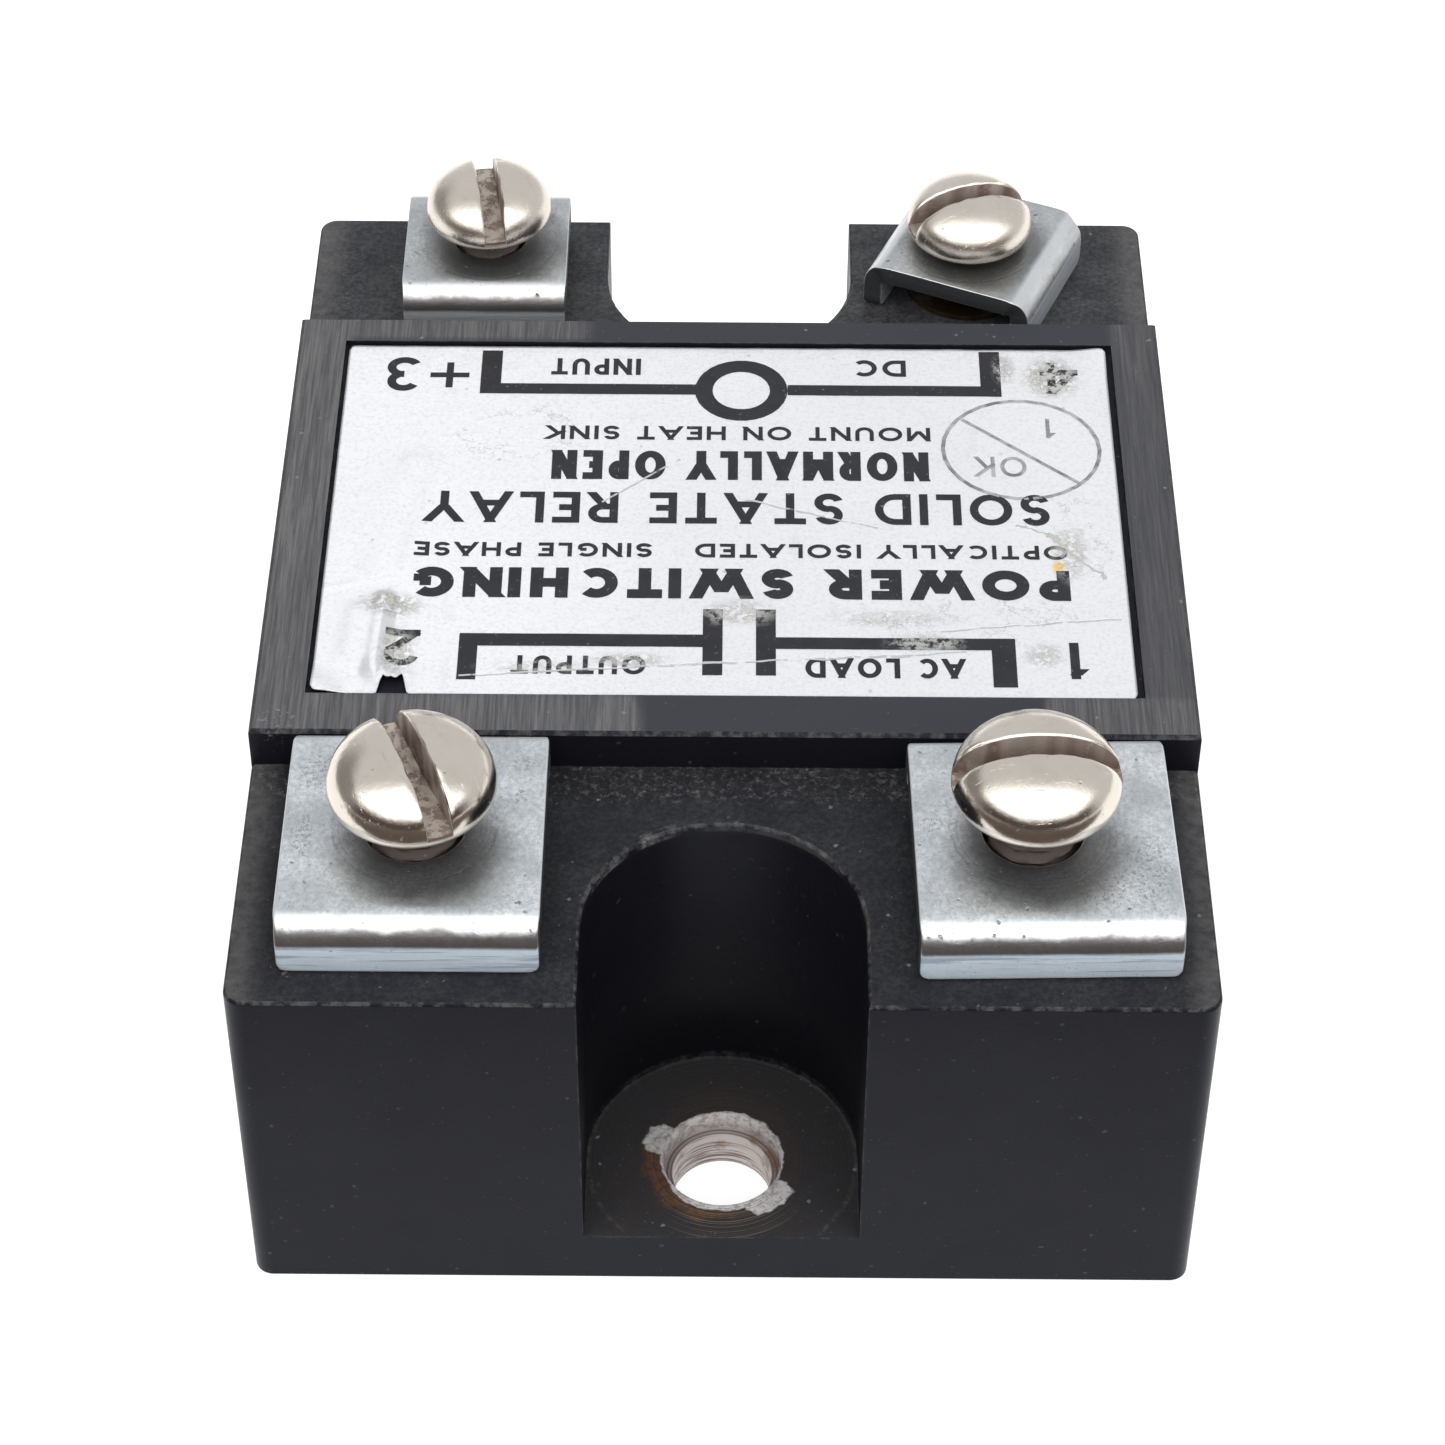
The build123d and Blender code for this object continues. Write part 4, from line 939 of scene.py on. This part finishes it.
# ---------------------------------------------------------------- clamp plates
def clamp_piece(number, screw_offset, material):
    """Sheet-metal channel in its own frame: bends along Y, feet at zero."""
    spec = TERMINALS[number]
    sizes = spec["sizes"]
    low, high = node_box(f"clamp_plate_{number}")
    height = high.z - low.z
    half_across = sizes["across"] / 2
    half_along = sizes["along"] / 2
    flat = half_across - CLAMP_BEND_RADIUS
    rows = [half_along * (2 * row / CLAMP_ROWS - 1) for row in range(CLAMP_ROWS + 1)]
    hole_radius = sizes["thread_radius"] + CLAMP_HOLE_GAP
    cells = {}
    skins = ([], [])

    def dent(x, y, z):
        """Slight waviness of formed sheet."""
        place = Vector((x * 0.35 + number * 5, y * 0.35, z * 0.5))
        return 0.025 * noise.noise(place)

    def point(key, outer, inner):
        if key not in cells:
            cells[key] = len(skins[0])
            skins[0].append(outer)
            skins[1].append(inner)
        return cells[key]

    def top_point(x, y):
        """On the flat web of the channel."""
        lift = dent(x, y, 0.0) * smooth_step(flat + 0.01 - abs(x), 0.0, 1.5)
        key = (round(x, 5), round(y, 5))
        return point(key, (x, y, height + lift), (x, y, height - CLAMP_THICKNESS + lift))

    def flange_point(side, step, row, steps_in_bend, steps_down):
        """On a bend (step up to steps_in_bend) or the flange under it."""
        if step <= steps_in_bend:
            turn = math.pi / 2 * step / steps_in_bend
            outer, inner = [
                (flat + radius * math.sin(turn), height - CLAMP_BEND_RADIUS + radius * math.cos(turn))
                for radius in (CLAMP_BEND_RADIUS, CLAMP_BEND_RADIUS - CLAMP_THICKNESS)
            ]
        else:
            drop = (height - CLAMP_BEND_RADIUS) * (1 - (step - steps_in_bend) / steps_down)
            outer, inner = (half_across, drop), (half_across - CLAMP_THICKNESS, drop)
        limit = half_along - spec["flange_step"] * smooth_step(step, 1.5, 4.0)
        if outer[1] < CLAMP_FOOT_RADIUS:
            limit -= round_off(outer[1], CLAMP_FOOT_RADIUS)
        y = rows[row] / half_along * limit
        sway = dent(side * outer[0], y, outer[1] + 3.0) * smooth_step(step, 0.0, 3.0)
        x_out, x_in = side * (outer[0] - abs(sway)), side * (inner[0] - abs(sway))
        return point((side, step, row), (x_out, y, outer[1]), (x_in, y, inner[1]))

    faces = []
    perimeter = [(flat, y) for y in rows[:-1]]
    across_count = 24
    perimeter += [(flat * (1 - 2 * k / across_count), half_along) for k in range(across_count)]
    perimeter += [(-flat, y) for y in reversed(rows[1:])]
    perimeter += [(-flat * (1 - 2 * k / across_count), -half_along) for k in range(across_count)]
    shares = (0.0, 0.06, 0.14, 0.26, 0.42, 0.6, 0.8, 1.0)
    rings = []
    for share in shares:
        ring = []
        for x, y in perimeter:
            away = Vector((x, y)) - Vector(screw_offset)
            hole = Vector(screw_offset) + away.normalized() * hole_radius
            ring.append(top_point(hole[0] + (x - hole[0]) * share, hole[1] + (y - hole[1]) * share))
        rings.append(ring)
    for inner_ring, outer_ring in zip(rings, rings[1:]):
        for k in range(len(inner_ring)):
            after = (k + 1) % len(inner_ring)
            faces.append((inner_ring[k], outer_ring[k], outer_ring[after], inner_ring[after]))
    bend_steps, down_steps = 8, 7
    for side in (1, -1):
        before = [top_point(side * flat, y) for y in rows]
        for step in range(1, bend_steps + down_steps + 1):
            current = [flange_point(side, step, row, bend_steps, down_steps) for row in range(len(rows))]
            for row in range(len(rows) - 1):
                quad = (before[row], current[row], current[row + 1], before[row + 1])
                faces.append(quad if side > 0 else tuple(reversed(quad)))
            before = current

    count = len(skins[0])
    edge_uses = {}
    for face in faces:
        for a, b in zip(face, face[1:] + face[:1]):
            edge_uses[(a, b)] = edge_uses.get((a, b), 0) + 1
    sides = [(b, a, a + count, b + count) for a, b in edge_uses if (b, a) not in edge_uses]
    backs = [tuple(i + count for i in reversed(face)) for face in faces]
    piece = mesh_piece(f"clamp_{number}_detail", skins[0] + skins[1], faces + sides + backs, material)
    outward(piece.data)
    bevel = piece.modifiers.new("rounded_edges", "BEVEL")
    bevel.width = CLAMP_EDGE_RADIUS * MM
    bevel.segments = 4
    bevel.limit_method = "ANGLE"
    bevel.angle_limit = math.radians(50)
    shade(piece.data, 180.0)
    centre = (low + high) / 2
    piece.matrix_world = placed(centre.x, centre.y, low.z, spec["clamp_deg"])
    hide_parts(f"clamp_plate_{number}")
    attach(piece, f"clamp_{number}")
    return piece


# ---------------------------------------------------------------- label
LABEL_LOW, LABEL_HIGH = node_box("rating_label")
FOIL_THICKNESS = LABEL_HIGH.z - LABEL_LOW.z
FOIL_REACH = 0.2
FOIL_CORNER_RADIUS = 0.35
NOTCH_X = -15.75
NOTCH_HALF_WIDTH = 0.62
NOTCH_DEPTH = 1.05
NOTCH_LIFT = 0.26
LEFT_CORNER_LIFT = 0.32
BACK_CORNER_LIFT = 0.16
INK_HEIGHT = 0.02
# Raised folds in the foil: start, end, half width and height
FOLDS = [
    ((-16.75, -9.2), (-16.5, -4.2), 0.5, 0.26),
    ((-17.8, -8.0), (-17.6, -5.2), 0.9, 0.2),
    ((-16.7, -1.5), (-15.6, 5.6), 1.1, 0.2),
    ((-17.9, 0.5), (-17.2, 4.2), 1.0, 0.09),
    ((-14.2, 7.9), (-12.4, 8.1), 0.12, 0.04),
    ((-16.6, 9.3), (-15.9, 9.5), 0.12, 0.04),
    ((-12.9, 9.4), (-11.9, 8.9), 0.12, 0.035),
    ((-14.0, 9.5), (-13.4, 10.3), 0.15, 0.04),
    ((-19.3, -3.4), (-17.9, -3.0), 0.14, 0.05),
    ((-11.2, -6.3), (-10.8, -5.0), 0.14, 0.03),
    ((16.9, 0.4), (18.8, -2.0), 0.16, 0.05),
]


def fold_height(x, y):
    """Height of the foil's folds at a place."""
    place = Vector((x, y))
    total = 0.0
    for start, end, half_width, height in FOLDS:
        a, b = Vector(start), Vector(end)
        share = min(max((place - a).dot(b - a) / (b - a).length_squared, 0.0), 1.0)
        gap = (place - a - (b - a) * share).length
        total += height * math.exp(-((gap / half_width) ** 2))
    return total


def foil_height(x, y):
    """Height of the foil's face above the recess floor."""
    ripple = 0.012 * noise.noise(Vector((x * 0.5, y * 0.5, 1.0)))
    ripple += 0.006 * noise.noise(Vector((x * 1.7, y * 1.7, 4.0)))
    lip = math.exp(-(((x - NOTCH_X) / 1.15) ** 2) - ((y - LABEL_LOW.y - 0.9) / 0.75) ** 2)
    left_corner = smooth_step(-17.3 - x, 0.0, 2.2) * smooth_step(LABEL_LOW.y + 2.2 - y, 0.0, 2.2)
    back_corner = smooth_step(x - 17.5, 0.0, 1.9) * smooth_step(y - 12.5, 0.0, 2.6)
    lifted = NOTCH_LIFT * lip + LEFT_CORNER_LIFT * left_corner + BACK_CORNER_LIFT * back_corner
    return FOIL_THICKNESS + fold_height(x, y) + max(ripple, -0.02) + lifted


def front_edge(x):
    """The foil's front edge, with its torn notch and small nicks."""
    reach = abs(x - NOTCH_X) / NOTCH_HALF_WIDTH
    bite = NOTCH_DEPTH * (1 - smooth_step(reach, 0.75, 1.25))
    bite *= 1 + 0.3 * noise.noise(Vector((x * 3.1, 0.0, 2.0)))
    nick = 0.03 * noise.noise(Vector((x * 1.3, 5.0, 0.0)))
    return LABEL_LOW.y + max(bite, 0.0) + nick + corner_inset(x)


def back_edge(x):
    """The foil's back edge."""
    return LABEL_HIGH.y + 0.1 - corner_inset(x) + 0.02 * noise.noise(Vector((x * 0.9, 9.0, 0.0)))


def corner_inset(x):
    """Rounds the label's corners."""
    gap = max(min(x - LABEL_LOW.x + FOIL_REACH, LABEL_HIGH.x + 0.4 * FOIL_REACH - x), 0.0)
    return round_off(gap, FOIL_CORNER_RADIUS) if gap < FOIL_CORNER_RADIUS else 0.0


def foil_piece(material):
    """The foil as a closed thin sheet that follows its folds."""
    columns, rows = 300, 190
    points, faces = [], []
    for i in range(columns + 1):
        x = LABEL_LOW.x - FOIL_REACH + (LABEL_HIGH.x - LABEL_LOW.x + 1.4 * FOIL_REACH) * i / columns
        y0, y1 = front_edge(x), back_edge(x)
        for j in range(rows + 1):
            y = y0 + (y1 - y0) * j / rows
            points.append((x, y, LABEL_LOW.z + foil_height(x, y)))
    for i in range(columns):
        for j in range(rows):
            a = i * (rows + 1) + j
            faces.append((a, a + rows + 1, a + rows + 2, a + 1))
    piece = mesh_piece("rating_label_foil", points, faces, material)
    solid = piece.modifiers.new("foil_thickness", "SOLIDIFY")
    solid.thickness = 0.6 * FOIL_THICKNESS * MM
    solid.offset = -1.0
    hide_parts("rating_label")
    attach(piece, "case")
    return piece


def drape(mesh, cell=0.7):
    """Cuts a flat print mesh into small cells and lays it on the foil, sunk a little into it."""
    shell = bmesh.new()
    shell.from_mesh(mesh)
    xs = [v.co.x for v in shell.verts]
    ys = [v.co.y for v in shell.verts]
    for axis, places in ((0, xs), (1, ys)):
        low, high = min(places), max(places)
        for k in range(1, int((high - low) / cell) + 1):
            spot = [0.0, 0.0, 0.0]
            spot[axis] = low + cell * k
            direction = [0.0, 0.0, 0.0]
            direction[axis] = 1.0
            everything = shell.verts[:] + shell.edges[:] + shell.faces[:]
            bmesh.ops.bisect_plane(shell, geom=everything, plane_co=spot, plane_no=direction, dist=1e-5)
    for vert in shell.verts:
        base = LABEL_LOW.z + foil_height(vert.co.x, vert.co.y)
        vert.co.z = base + (INK_HEIGHT if vert.co.z > 0 else -INK_HEIGHT)
        vert.co *= MM
    bmesh.ops.recalc_face_normals(shell, faces=shell.faces)
    shell.to_mesh(mesh)
    shell.free()


def print_piece(name, outlines, material):
    """Print of the given outlines, draped over the foil, as a piece on the case."""
    mesh = flat_mesh(outlines)
    drape(mesh)
    mesh.materials.append(material)
    piece = scene_object(name, mesh)
    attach(piece, "case")
    return piece


# Strokes of each letter in a unit square: four numbers are a straight run from place to place, and six are an
# arc's centre, radii and first and last angle. The first number of a letter is its width over its height.
GLYPHS = {
    "A": (0.95, [(0, 0, 0.5, 1), (1, 0, 0.5, 1), (0.19, 0.34, 0.81, 0.34)]),
    "C": (0.85, [(0.54, 0.5, 0.54, 0.5, 48, 312)]),
    "D": (0.85, [(0, 0, 0, 1), (0, 1, 0.42, 1), (0.42, 0.5, 0.58, 0.5, 90, -90), (0, 0, 0.42, 0)]),
    "E": (0.64, [(0, 0, 0, 1), (0, 1, 1, 1), (0, 0.5, 0.88, 0.5), (0, 0, 1, 0)]),
    "G": (0.9, [(0.53, 0.5, 0.53, 0.5, 48, 318), (0.55, 0.46, 0.93, 0.46), (0.93, 0.46, 0.93, 0.14)]),
    "H": (0.8, [(0, 0, 0, 1), (1, 0, 1, 1), (0, 0.5, 1, 0.5)]),
    "I": (0.2, [(0.5, 0, 0.5, 1)]),
    "K": (0.78, [(0, 0, 0, 1), (0.95, 1, 0, 0.38), (0.32, 0.6, 0.95, 0)]),
    "L": (0.58, [(0, 0, 0, 1), (0, 0, 1, 0)]),
    "M": (0.98, [(0, 0, 0, 1), (1, 0, 1, 1), (0.05, 1, 0.5, 0.2), (0.95, 1, 0.5, 0.2)]),
    "N": (0.82, [(0, 0, 0, 1), (1, 0, 1, 1), (0.06, 1, 0.94, 0)]),
    "O": (1.0, [(0.5, 0.5, 0.5, 0.5, 0, 180), (0.5, 0.5, 0.5, 0.5, 180, 360)]),
    "P": (0.66, [(0, 0, 0, 1), (0, 1, 0.5, 1), (0.5, 0.73, 0.5, 0.27, 90, -90), (0, 0.46, 0.5, 0.46)]),
    "S": (0.68, [(0.5, 0.745, 0.47, 0.255, 20, 270), (0.5, 0.255, 0.5, 0.255, 90, -160)]),
    "T": (0.74, [(0, 1, 1, 1), (0.5, 0, 0.5, 1)]),
    "U": (0.78, [(0, 0.4, 0, 1), (1, 0.4, 1, 1), (0.5, 0.4, 0.5, 0.4, 180, 360)]),
    "W": (1.3, [(0.02, 1, 0.25, 0), (0.25, 0, 0.5, 0.9), (0.5, 0.9, 0.75, 0), (0.75, 0, 0.98, 1)]),
    "Y": (0.84, [(0, 1, 0.5, 0.44), (1, 1, 0.5, 0.44), (0.5, 0.44, 0.5, 0)]),
    "1": (0.4, [(0.7, 0, 0.7, 1), (0.05, 0.78, 0.7, 0.98)]),
    "2": (0.66, [(0.5, 0.72, 0.5, 0.28, 165, -38), (0.03, 0.02, 0.9, 0.55), (0, 0, 1, 0)]),
    "3": (0.66, [(0.5, 0.745, 0.46, 0.255, 150, -90), (0.5, 0.255, 0.5, 0.255, 90, -150)]),
    "4": (0.78, [(0.76, 0, 0.76, 1), (0, 0.28, 1, 0.28), (0.04, 0.3, 0.72, 1)]),
    "+": (1.0, [(0, 0.5, 1, 0.5), (0.5, 0, 0.5, 1)]),
}
GLYPHS["R"] = (0.7, [(0, 0, 0, 1), *GLYPHS["P"][1][1:], (0.42, 0.46, 0.95, 0)])
LETTER_GAP = 0.2
WORD_GAP = 0.34
ARC_STEP_DEG = 12.0


def run_outline(stroke, width, height, weight):
    """Outline of a straight stroke: level ends on upright and slanted ones, square ends on level ones."""
    unit_ends = (Vector(stroke[:2]), Vector(stroke[2:]))
    room = Vector((width - weight, height - weight))
    start, end = (Vector((weight / 2, weight / 2)) + unit * room for unit in unit_ends)
    run = end - start
    slanted = abs(run.y) > 0.35 * abs(run.x)
    reach = run * (weight / 2 / abs(run.y if slanted else run.x))
    axis = 1 if slanted else 0
    if unit_ends[0][axis] in (0, 1):
        start -= reach
    if unit_ends[1][axis] in (0, 1):
        end += reach
    side = Vector((weight / 2 * run.length / abs(run.y), 0.0)) if slanted else Vector((0.0, weight / 2))
    return [start - side, end - side, end + side, start + side]


def arc_outline(stroke, width, height, weight):
    """Outline of a curved stroke."""
    centre_x = weight / 2 + stroke[0] * (width - weight)
    centre_y = weight / 2 + stroke[1] * (height - weight)
    radius_x, radius_y = stroke[2] * (width - weight), stroke[3] * (height - weight)
    count = max(4, round(abs(stroke[5] - stroke[4]) / ARC_STEP_DEG))
    turns = [math.radians(stroke[4] + (stroke[5] - stroke[4]) * k / count) for k in range(count + 1)]
    outline = []
    for sign, order in ((1, turns), (-1, reversed(turns))):
        for turn in order:
            x = centre_x + (radius_x + sign * weight / 2) * math.cos(turn)
            outline.append(Vector((x, centre_y + (radius_y + sign * weight / 2) * math.sin(turn))))
    return outline


def word_outlines(words, height, width, x, y, weight):
    """Outlines of a line of capitals, centred on x and y and fitted to a width, read from the far side."""
    shares = [WORD_GAP if letter == " " else GLYPHS[letter][0] for letter in words]
    total = sum(shares) + LETTER_GAP * (len(words) - 1)
    fit = width / (total * height) if len(words) > 1 else 1.0
    left, outlines = 0.0, []
    for letter, share in zip(words, shares):
        letter_width = max(share * height * fit, weight)
        for stroke in GLYPHS[letter][1] if letter != " " else ():
            shape = run_outline if len(stroke) == 4 else arc_outline
            outline = shape(stroke, letter_width, height, weight)
            outlines.append([(left + point.x, point.y) for point in outline])
        left += (share + LETTER_GAP) * height * fit
    span = left - LETTER_GAP * height * fit
    return [[(x + span / 2 - px, y + height / 2 - py) for px, py in outline] for outline in outlines]


def flat_mesh(outlines):
    """One closed flat solid out of outlines that may overlap."""
    corners, loops = [], []
    for outline in outlines:
        area = sum(a[0] * b[1] - b[0] * a[1] for a, b in zip(outline, outline[1:] + outline[:1]))
        loops.append(list(range(len(corners), len(corners) + len(outline))))
        corners.extend(Vector(point) for point in (outline if area > 0 else reversed(outline)))
    joined = delaunay_2d_cdt(corners, [], loops, 1, 1e-5)
    points, triangles, sources = joined[0], joined[2], joined[5]
    tops = [tuple(face) for face, source in zip(triangles, sources) if source]
    used = {(a, b) for face in tops for a, b in zip(face, face[1:] + face[:1])}
    count = len(points)
    walls = [(b, a, a + count, b + count) for a, b in sorted(used) if (b, a) not in used]
    bottoms = [tuple(k + count for k in reversed(face)) for face in tops]
    mesh = bpy.data.meshes.new("print")
    mesh.from_pydata([(p.x, p.y, z) for z in (1.0, -1.0) for p in points], [], tops + bottoms + walls)
    return mesh


def bar(x0, x1, y0, y1):
    """Outline of a printed bar."""
    return [(x0, y0), (x1, y0), (x1, y1), (x0, y1)]


def ring_outlines(x, y, radius_x, radius_y, weight):
    """Outlines of the two halves of an oval ring."""
    size = (2 * radius_x + weight, 2 * radius_y + weight)
    halves = [arc_outline((0.5, 0.5, 0.5, 0.5, turn, turn + 180), *size, weight) for turn in (0, 180)]
    return [[(x - size[0] / 2 + p.x, y - size[1] / 2 + p.y) for p in half] for half in halves]


def print_pieces(ink, stamp):
    """Terminal numbers, the contact and input symbols, generic wording and a plain inspection stamp."""
    words = [
        # words, capital height, width, x, y, weight of the strokes
        ("SOLID STATE RELAY", 2.3, 30.9, 0.55, 2.6, 0.42),
        ("POWER SWITCHING", 2.15, 32.0, 0.7, -2.95, 0.62),
        ("OPTICALLY ISOLATED   SINGLE PHASE", 1.0, 32.0, 0.7, -0.55, 0.21),
        ("NORMALLY OPEN", 2.2, 18.9, 0.65, 5.85, 0.5),
        ("MOUNT ON HEAT SINK", 1.05, 19.4, 0.55, 8.35, 0.21),
        ("AC LOAD", 1.35, 7.6, 7.6, -8.85, 0.27),
        ("OUTPUT", 1.25, 6.4, -7.0, -8.75, 0.24),
        ("DC", 1.3, 2.7, 7.8, 13.6, 0.26),
        ("INPUT", 1.3, 4.6, -6.8, 13.6, 0.25),
        ("1", 2.5, 0.75, 16.75, -8.25, 0.45),
        ("2", 2.5, 1.75, -15.45, -7.65, 0.42),
        ("+", 2.0, 2.0, -14.3, 12.85, 0.36),
        ("3", 2.7, 1.7, -16.65, 12.9, 0.45),
        ("4", 2.5, 2.0, 17.0, 12.9, 0.42),
    ]
    for place, entry in enumerate(words):
        print_piece(f"label_words_{place + 1}", word_outlines(*entry), ink)
    shapes = {
        "contact_left": [(12.7, 13.85, -10.1, -6.75), (1.95, 12.7, -7.55, -6.75), (1.45, 2.4, -9.4, -4.8)],
        "contact_right": [
            (-1.1, -0.15, -9.4, -4.8),
            (-11.85, -1.1, -7.45, -6.6),
            (-12.75, -11.85, -9.8, -6.6),
        ],
        "input_left": [(12.95, 14.0, 11.4, 15.0), (3.05, 12.95, 11.4, 12.2)],
        "input_right": [(-11.65, -1.55, 11.4, 12.2), (-12.7, -11.65, 11.4, 14.85)],
    }
    for name, bars in shapes.items():
        print_piece(f"label_{name}", [bar(*sizes) for sizes in bars], ink)
    print_piece("label_input_ring", ring_outlines(0.68, 11.75, 1.92, 1.95, 0.9), ink)
    print_piece("label_stamp_ring", ring_outlines(14.8, 7.25, 3.95, 3.79, 0.2), stamp)
    slash = [(17.62, 4.52), (17.75, 4.65), (11.95, 9.62), (11.82, 9.49)]
    print_piece("label_stamp_line", [slash], stamp)
    for place, entry in enumerate((("OK", 1.5, 2.6, 13.7, 5.9, 0.2), ("1", 1.5, 0.5, 16.3, 8.9, 0.2))):
        print_piece(f"label_stamp_words_{place + 1}", word_outlines(*entry), stamp)


# ---------------------------------------------------------------- the CAD nodes' materials
def paint_nodes():
    """Gives every carried-over CAD node its material."""
    by_slot = {
        "phenolic": phenolic(),
        "aluminium": milled_aluminium(),
        # The brass is very dark: partly tarnish and dirt, partly painted shade under the clamp plates
        "brass": plain_metal("dull_brass_and_shade", (0.06, 0.045, 0.025), (0.2, 0.14, 0.07), 0.42),
        "copper": plain_metal("bare_copper", (0.5, 0.22, 0.13), (0.85, 0.46, 0.31), 0.25),
        "tinned_wire": plain_metal("tinned_wire", (0.5, 0.5, 0.49), (0.76, 0.76, 0.75), 0.25),
        "silicon": plain_metal("silicon", (0.13, 0.14, 0.17), (0.22, 0.24, 0.29), 0.12),
        "alumina": plain_solid("alumina", (0.8, 0.79, 0.75), (0.9, 0.89, 0.86), 0.4),
        "resin": plain_solid("potting_resin", (0.018, 0.018, 0.02), (0.045, 0.045, 0.05), 0.25, 1.2, 0.05),
        "board": plain_solid("glass_epoxy", (0.035, 0.15, 0.06), (0.06, 0.23, 0.1), 0.35, 3.0, 0.015),
        "component_black": plain_solid("moulded_epoxy", (0.012, 0.012, 0.013), (0.03, 0.03, 0.032), 0.45),
        "resistor_tan": plain_solid("resistor_lacquer", (0.5, 0.36, 0.21), (0.66, 0.5, 0.32), 0.35),
        "capacitor_yellow": plain_solid("capacitor_case", (0.6, 0.38, 0.05), (0.75, 0.5, 0.09), 0.3),
    }
    for row in frame["record"]["subparts"]:
        if row["material_slot"] in by_slot:
            node = frame["nodes"][row["node"]]
            node.data.materials.clear()
            node.data.materials.append(by_slot[row["material_slot"]])


# ---------------------------------------------------------------- stage
def build_stage():
    """Camera, pale floor, a dark mat in front, which only reflections show, and the surround."""
    camera_data = bpy.data.cameras.new("camera")
    camera_data.lens = CAMERA_LENS
    camera_data.sensor_width = 36.0
    camera_data.clip_start = 0.005
    camera_data.clip_end = 20.0
    camera = scene_object("camera", camera_data)
    look = metres(*CAMERA_TARGET) - metres(*CAMERA_PLACE)
    turn = look.to_track_quat("-Z", "Y").to_matrix().to_4x4()
    roll = Matrix.Rotation(math.radians(CAMERA_ROLL_DEG), 4, "Z")
    camera.matrix_world = Matrix.Translation(metres(*CAMERA_PLACE)) @ turn @ roll
    bpy.context.scene.camera = camera

    half = FLOOR_SIDE / 2
    corners = [(-half, -half, 0.0), (half, -half, 0.0), (half, half, 0.0), (-half, half, 0.0)]
    mesh_piece("floor", corners, [(0, 1, 2, 3)], floor_material())

    (left_x, right_x), (far_y, near_y) = DARK_MAT_X, DARK_MAT_Y
    mat_plan = [(left_x, far_y), (right_x, far_y), (right_x, near_y), (left_x, near_y)]
    mat_corners = [(x, y, DARK_MAT_HEIGHT) for x, y in mat_plan]
    dark_mat = mesh_piece("dark_mat", mat_corners, [(0, 1, 2, 3)], mat_material())
    dark_mat.visible_camera = False
    dark_mat.visible_diffuse = False
    dark_mat.visible_shadow = False
    build_surround()


def build_surround():
    """A pale studio: a bright bank above the camera, a dark room below it and a dim left side."""
    world = bpy.data.worlds.new("surround")
    world.use_nodes = True
    bpy.context.scene.world = world
    sky = Patterns(world.node_tree)
    direction = sky.add("ShaderNodeTexCoord").outputs["Generated"]
    ahead, height = sky.split(direction)[1:]
    level = sky.vector("NORMALIZE", sky.vector("MULTIPLY", direction, (1.0, 1.0, 0.0)))
    right, back = sky.split(level)[:2]

    def climb(low_deg, high_deg):
        """A rise between two angles above the horizon."""
        return sky.rise(height, math.sin(math.radians(low_deg)), math.sin(math.radians(high_deg)))

    bank = sky.times(sky.rise(ahead, 0.12, -0.32), climb(20, 36))
    room = sky.times(sky.rise(back, -0.05, -0.5), climb(27, 14))
    dim = sky.times(sky.rise(right, -0.45, -0.85), climb(40, 27))
    seen = sky.add("ShaderNodeLightPath").outputs["Is Camera Ray"]
    layers = [(dim, 1.0, SKY_LEFT), (bank, 1.0, SKY_BANK), (room, 1.0, SKY_ROOM), (seen, 1.0, SKY_BACKDROP)]
    light = sky.coats(SKY_PLAIN, layers)
    sky.link(light, sky.tree.nodes["Background"].inputs["Color"])
    bpy.context.scene.view_settings.view_transform = "Standard"


# ---------------------------------------------------------------- build
build_stage()
paint_nodes()
for number, spec in TERMINALS.items():
    screw_low, screw_high = node_box(f"terminal_screw_{number}")
    clamp_low, clamp_high = node_box(f"clamp_plate_{number}")
    offset = (screw_low + screw_high) / 2 - (clamp_low + clamp_high) / 2
    turned_back = Matrix.Rotation(-math.radians(spec["clamp_deg"]), 3, "Z")
    screw_offset, shade_offset = (tuple((turned_back @ place).xy) for place in (offset, offset + HEAD_SHADE))
    zinc = zinc_plate(f"zinc_plate_{number}", number, screw_offset, shade_offset, clamp_high.z - clamp_low.z)
    nickel = nickel_plate(f"nickel_plate_{number}", spec["sizes"], number * 11.0)
    clamp_piece(number, screw_offset, zinc)
    screw_piece(number, nickel)
foil_piece(label_foil())
print_pieces(label_ink(), stamp_ink())
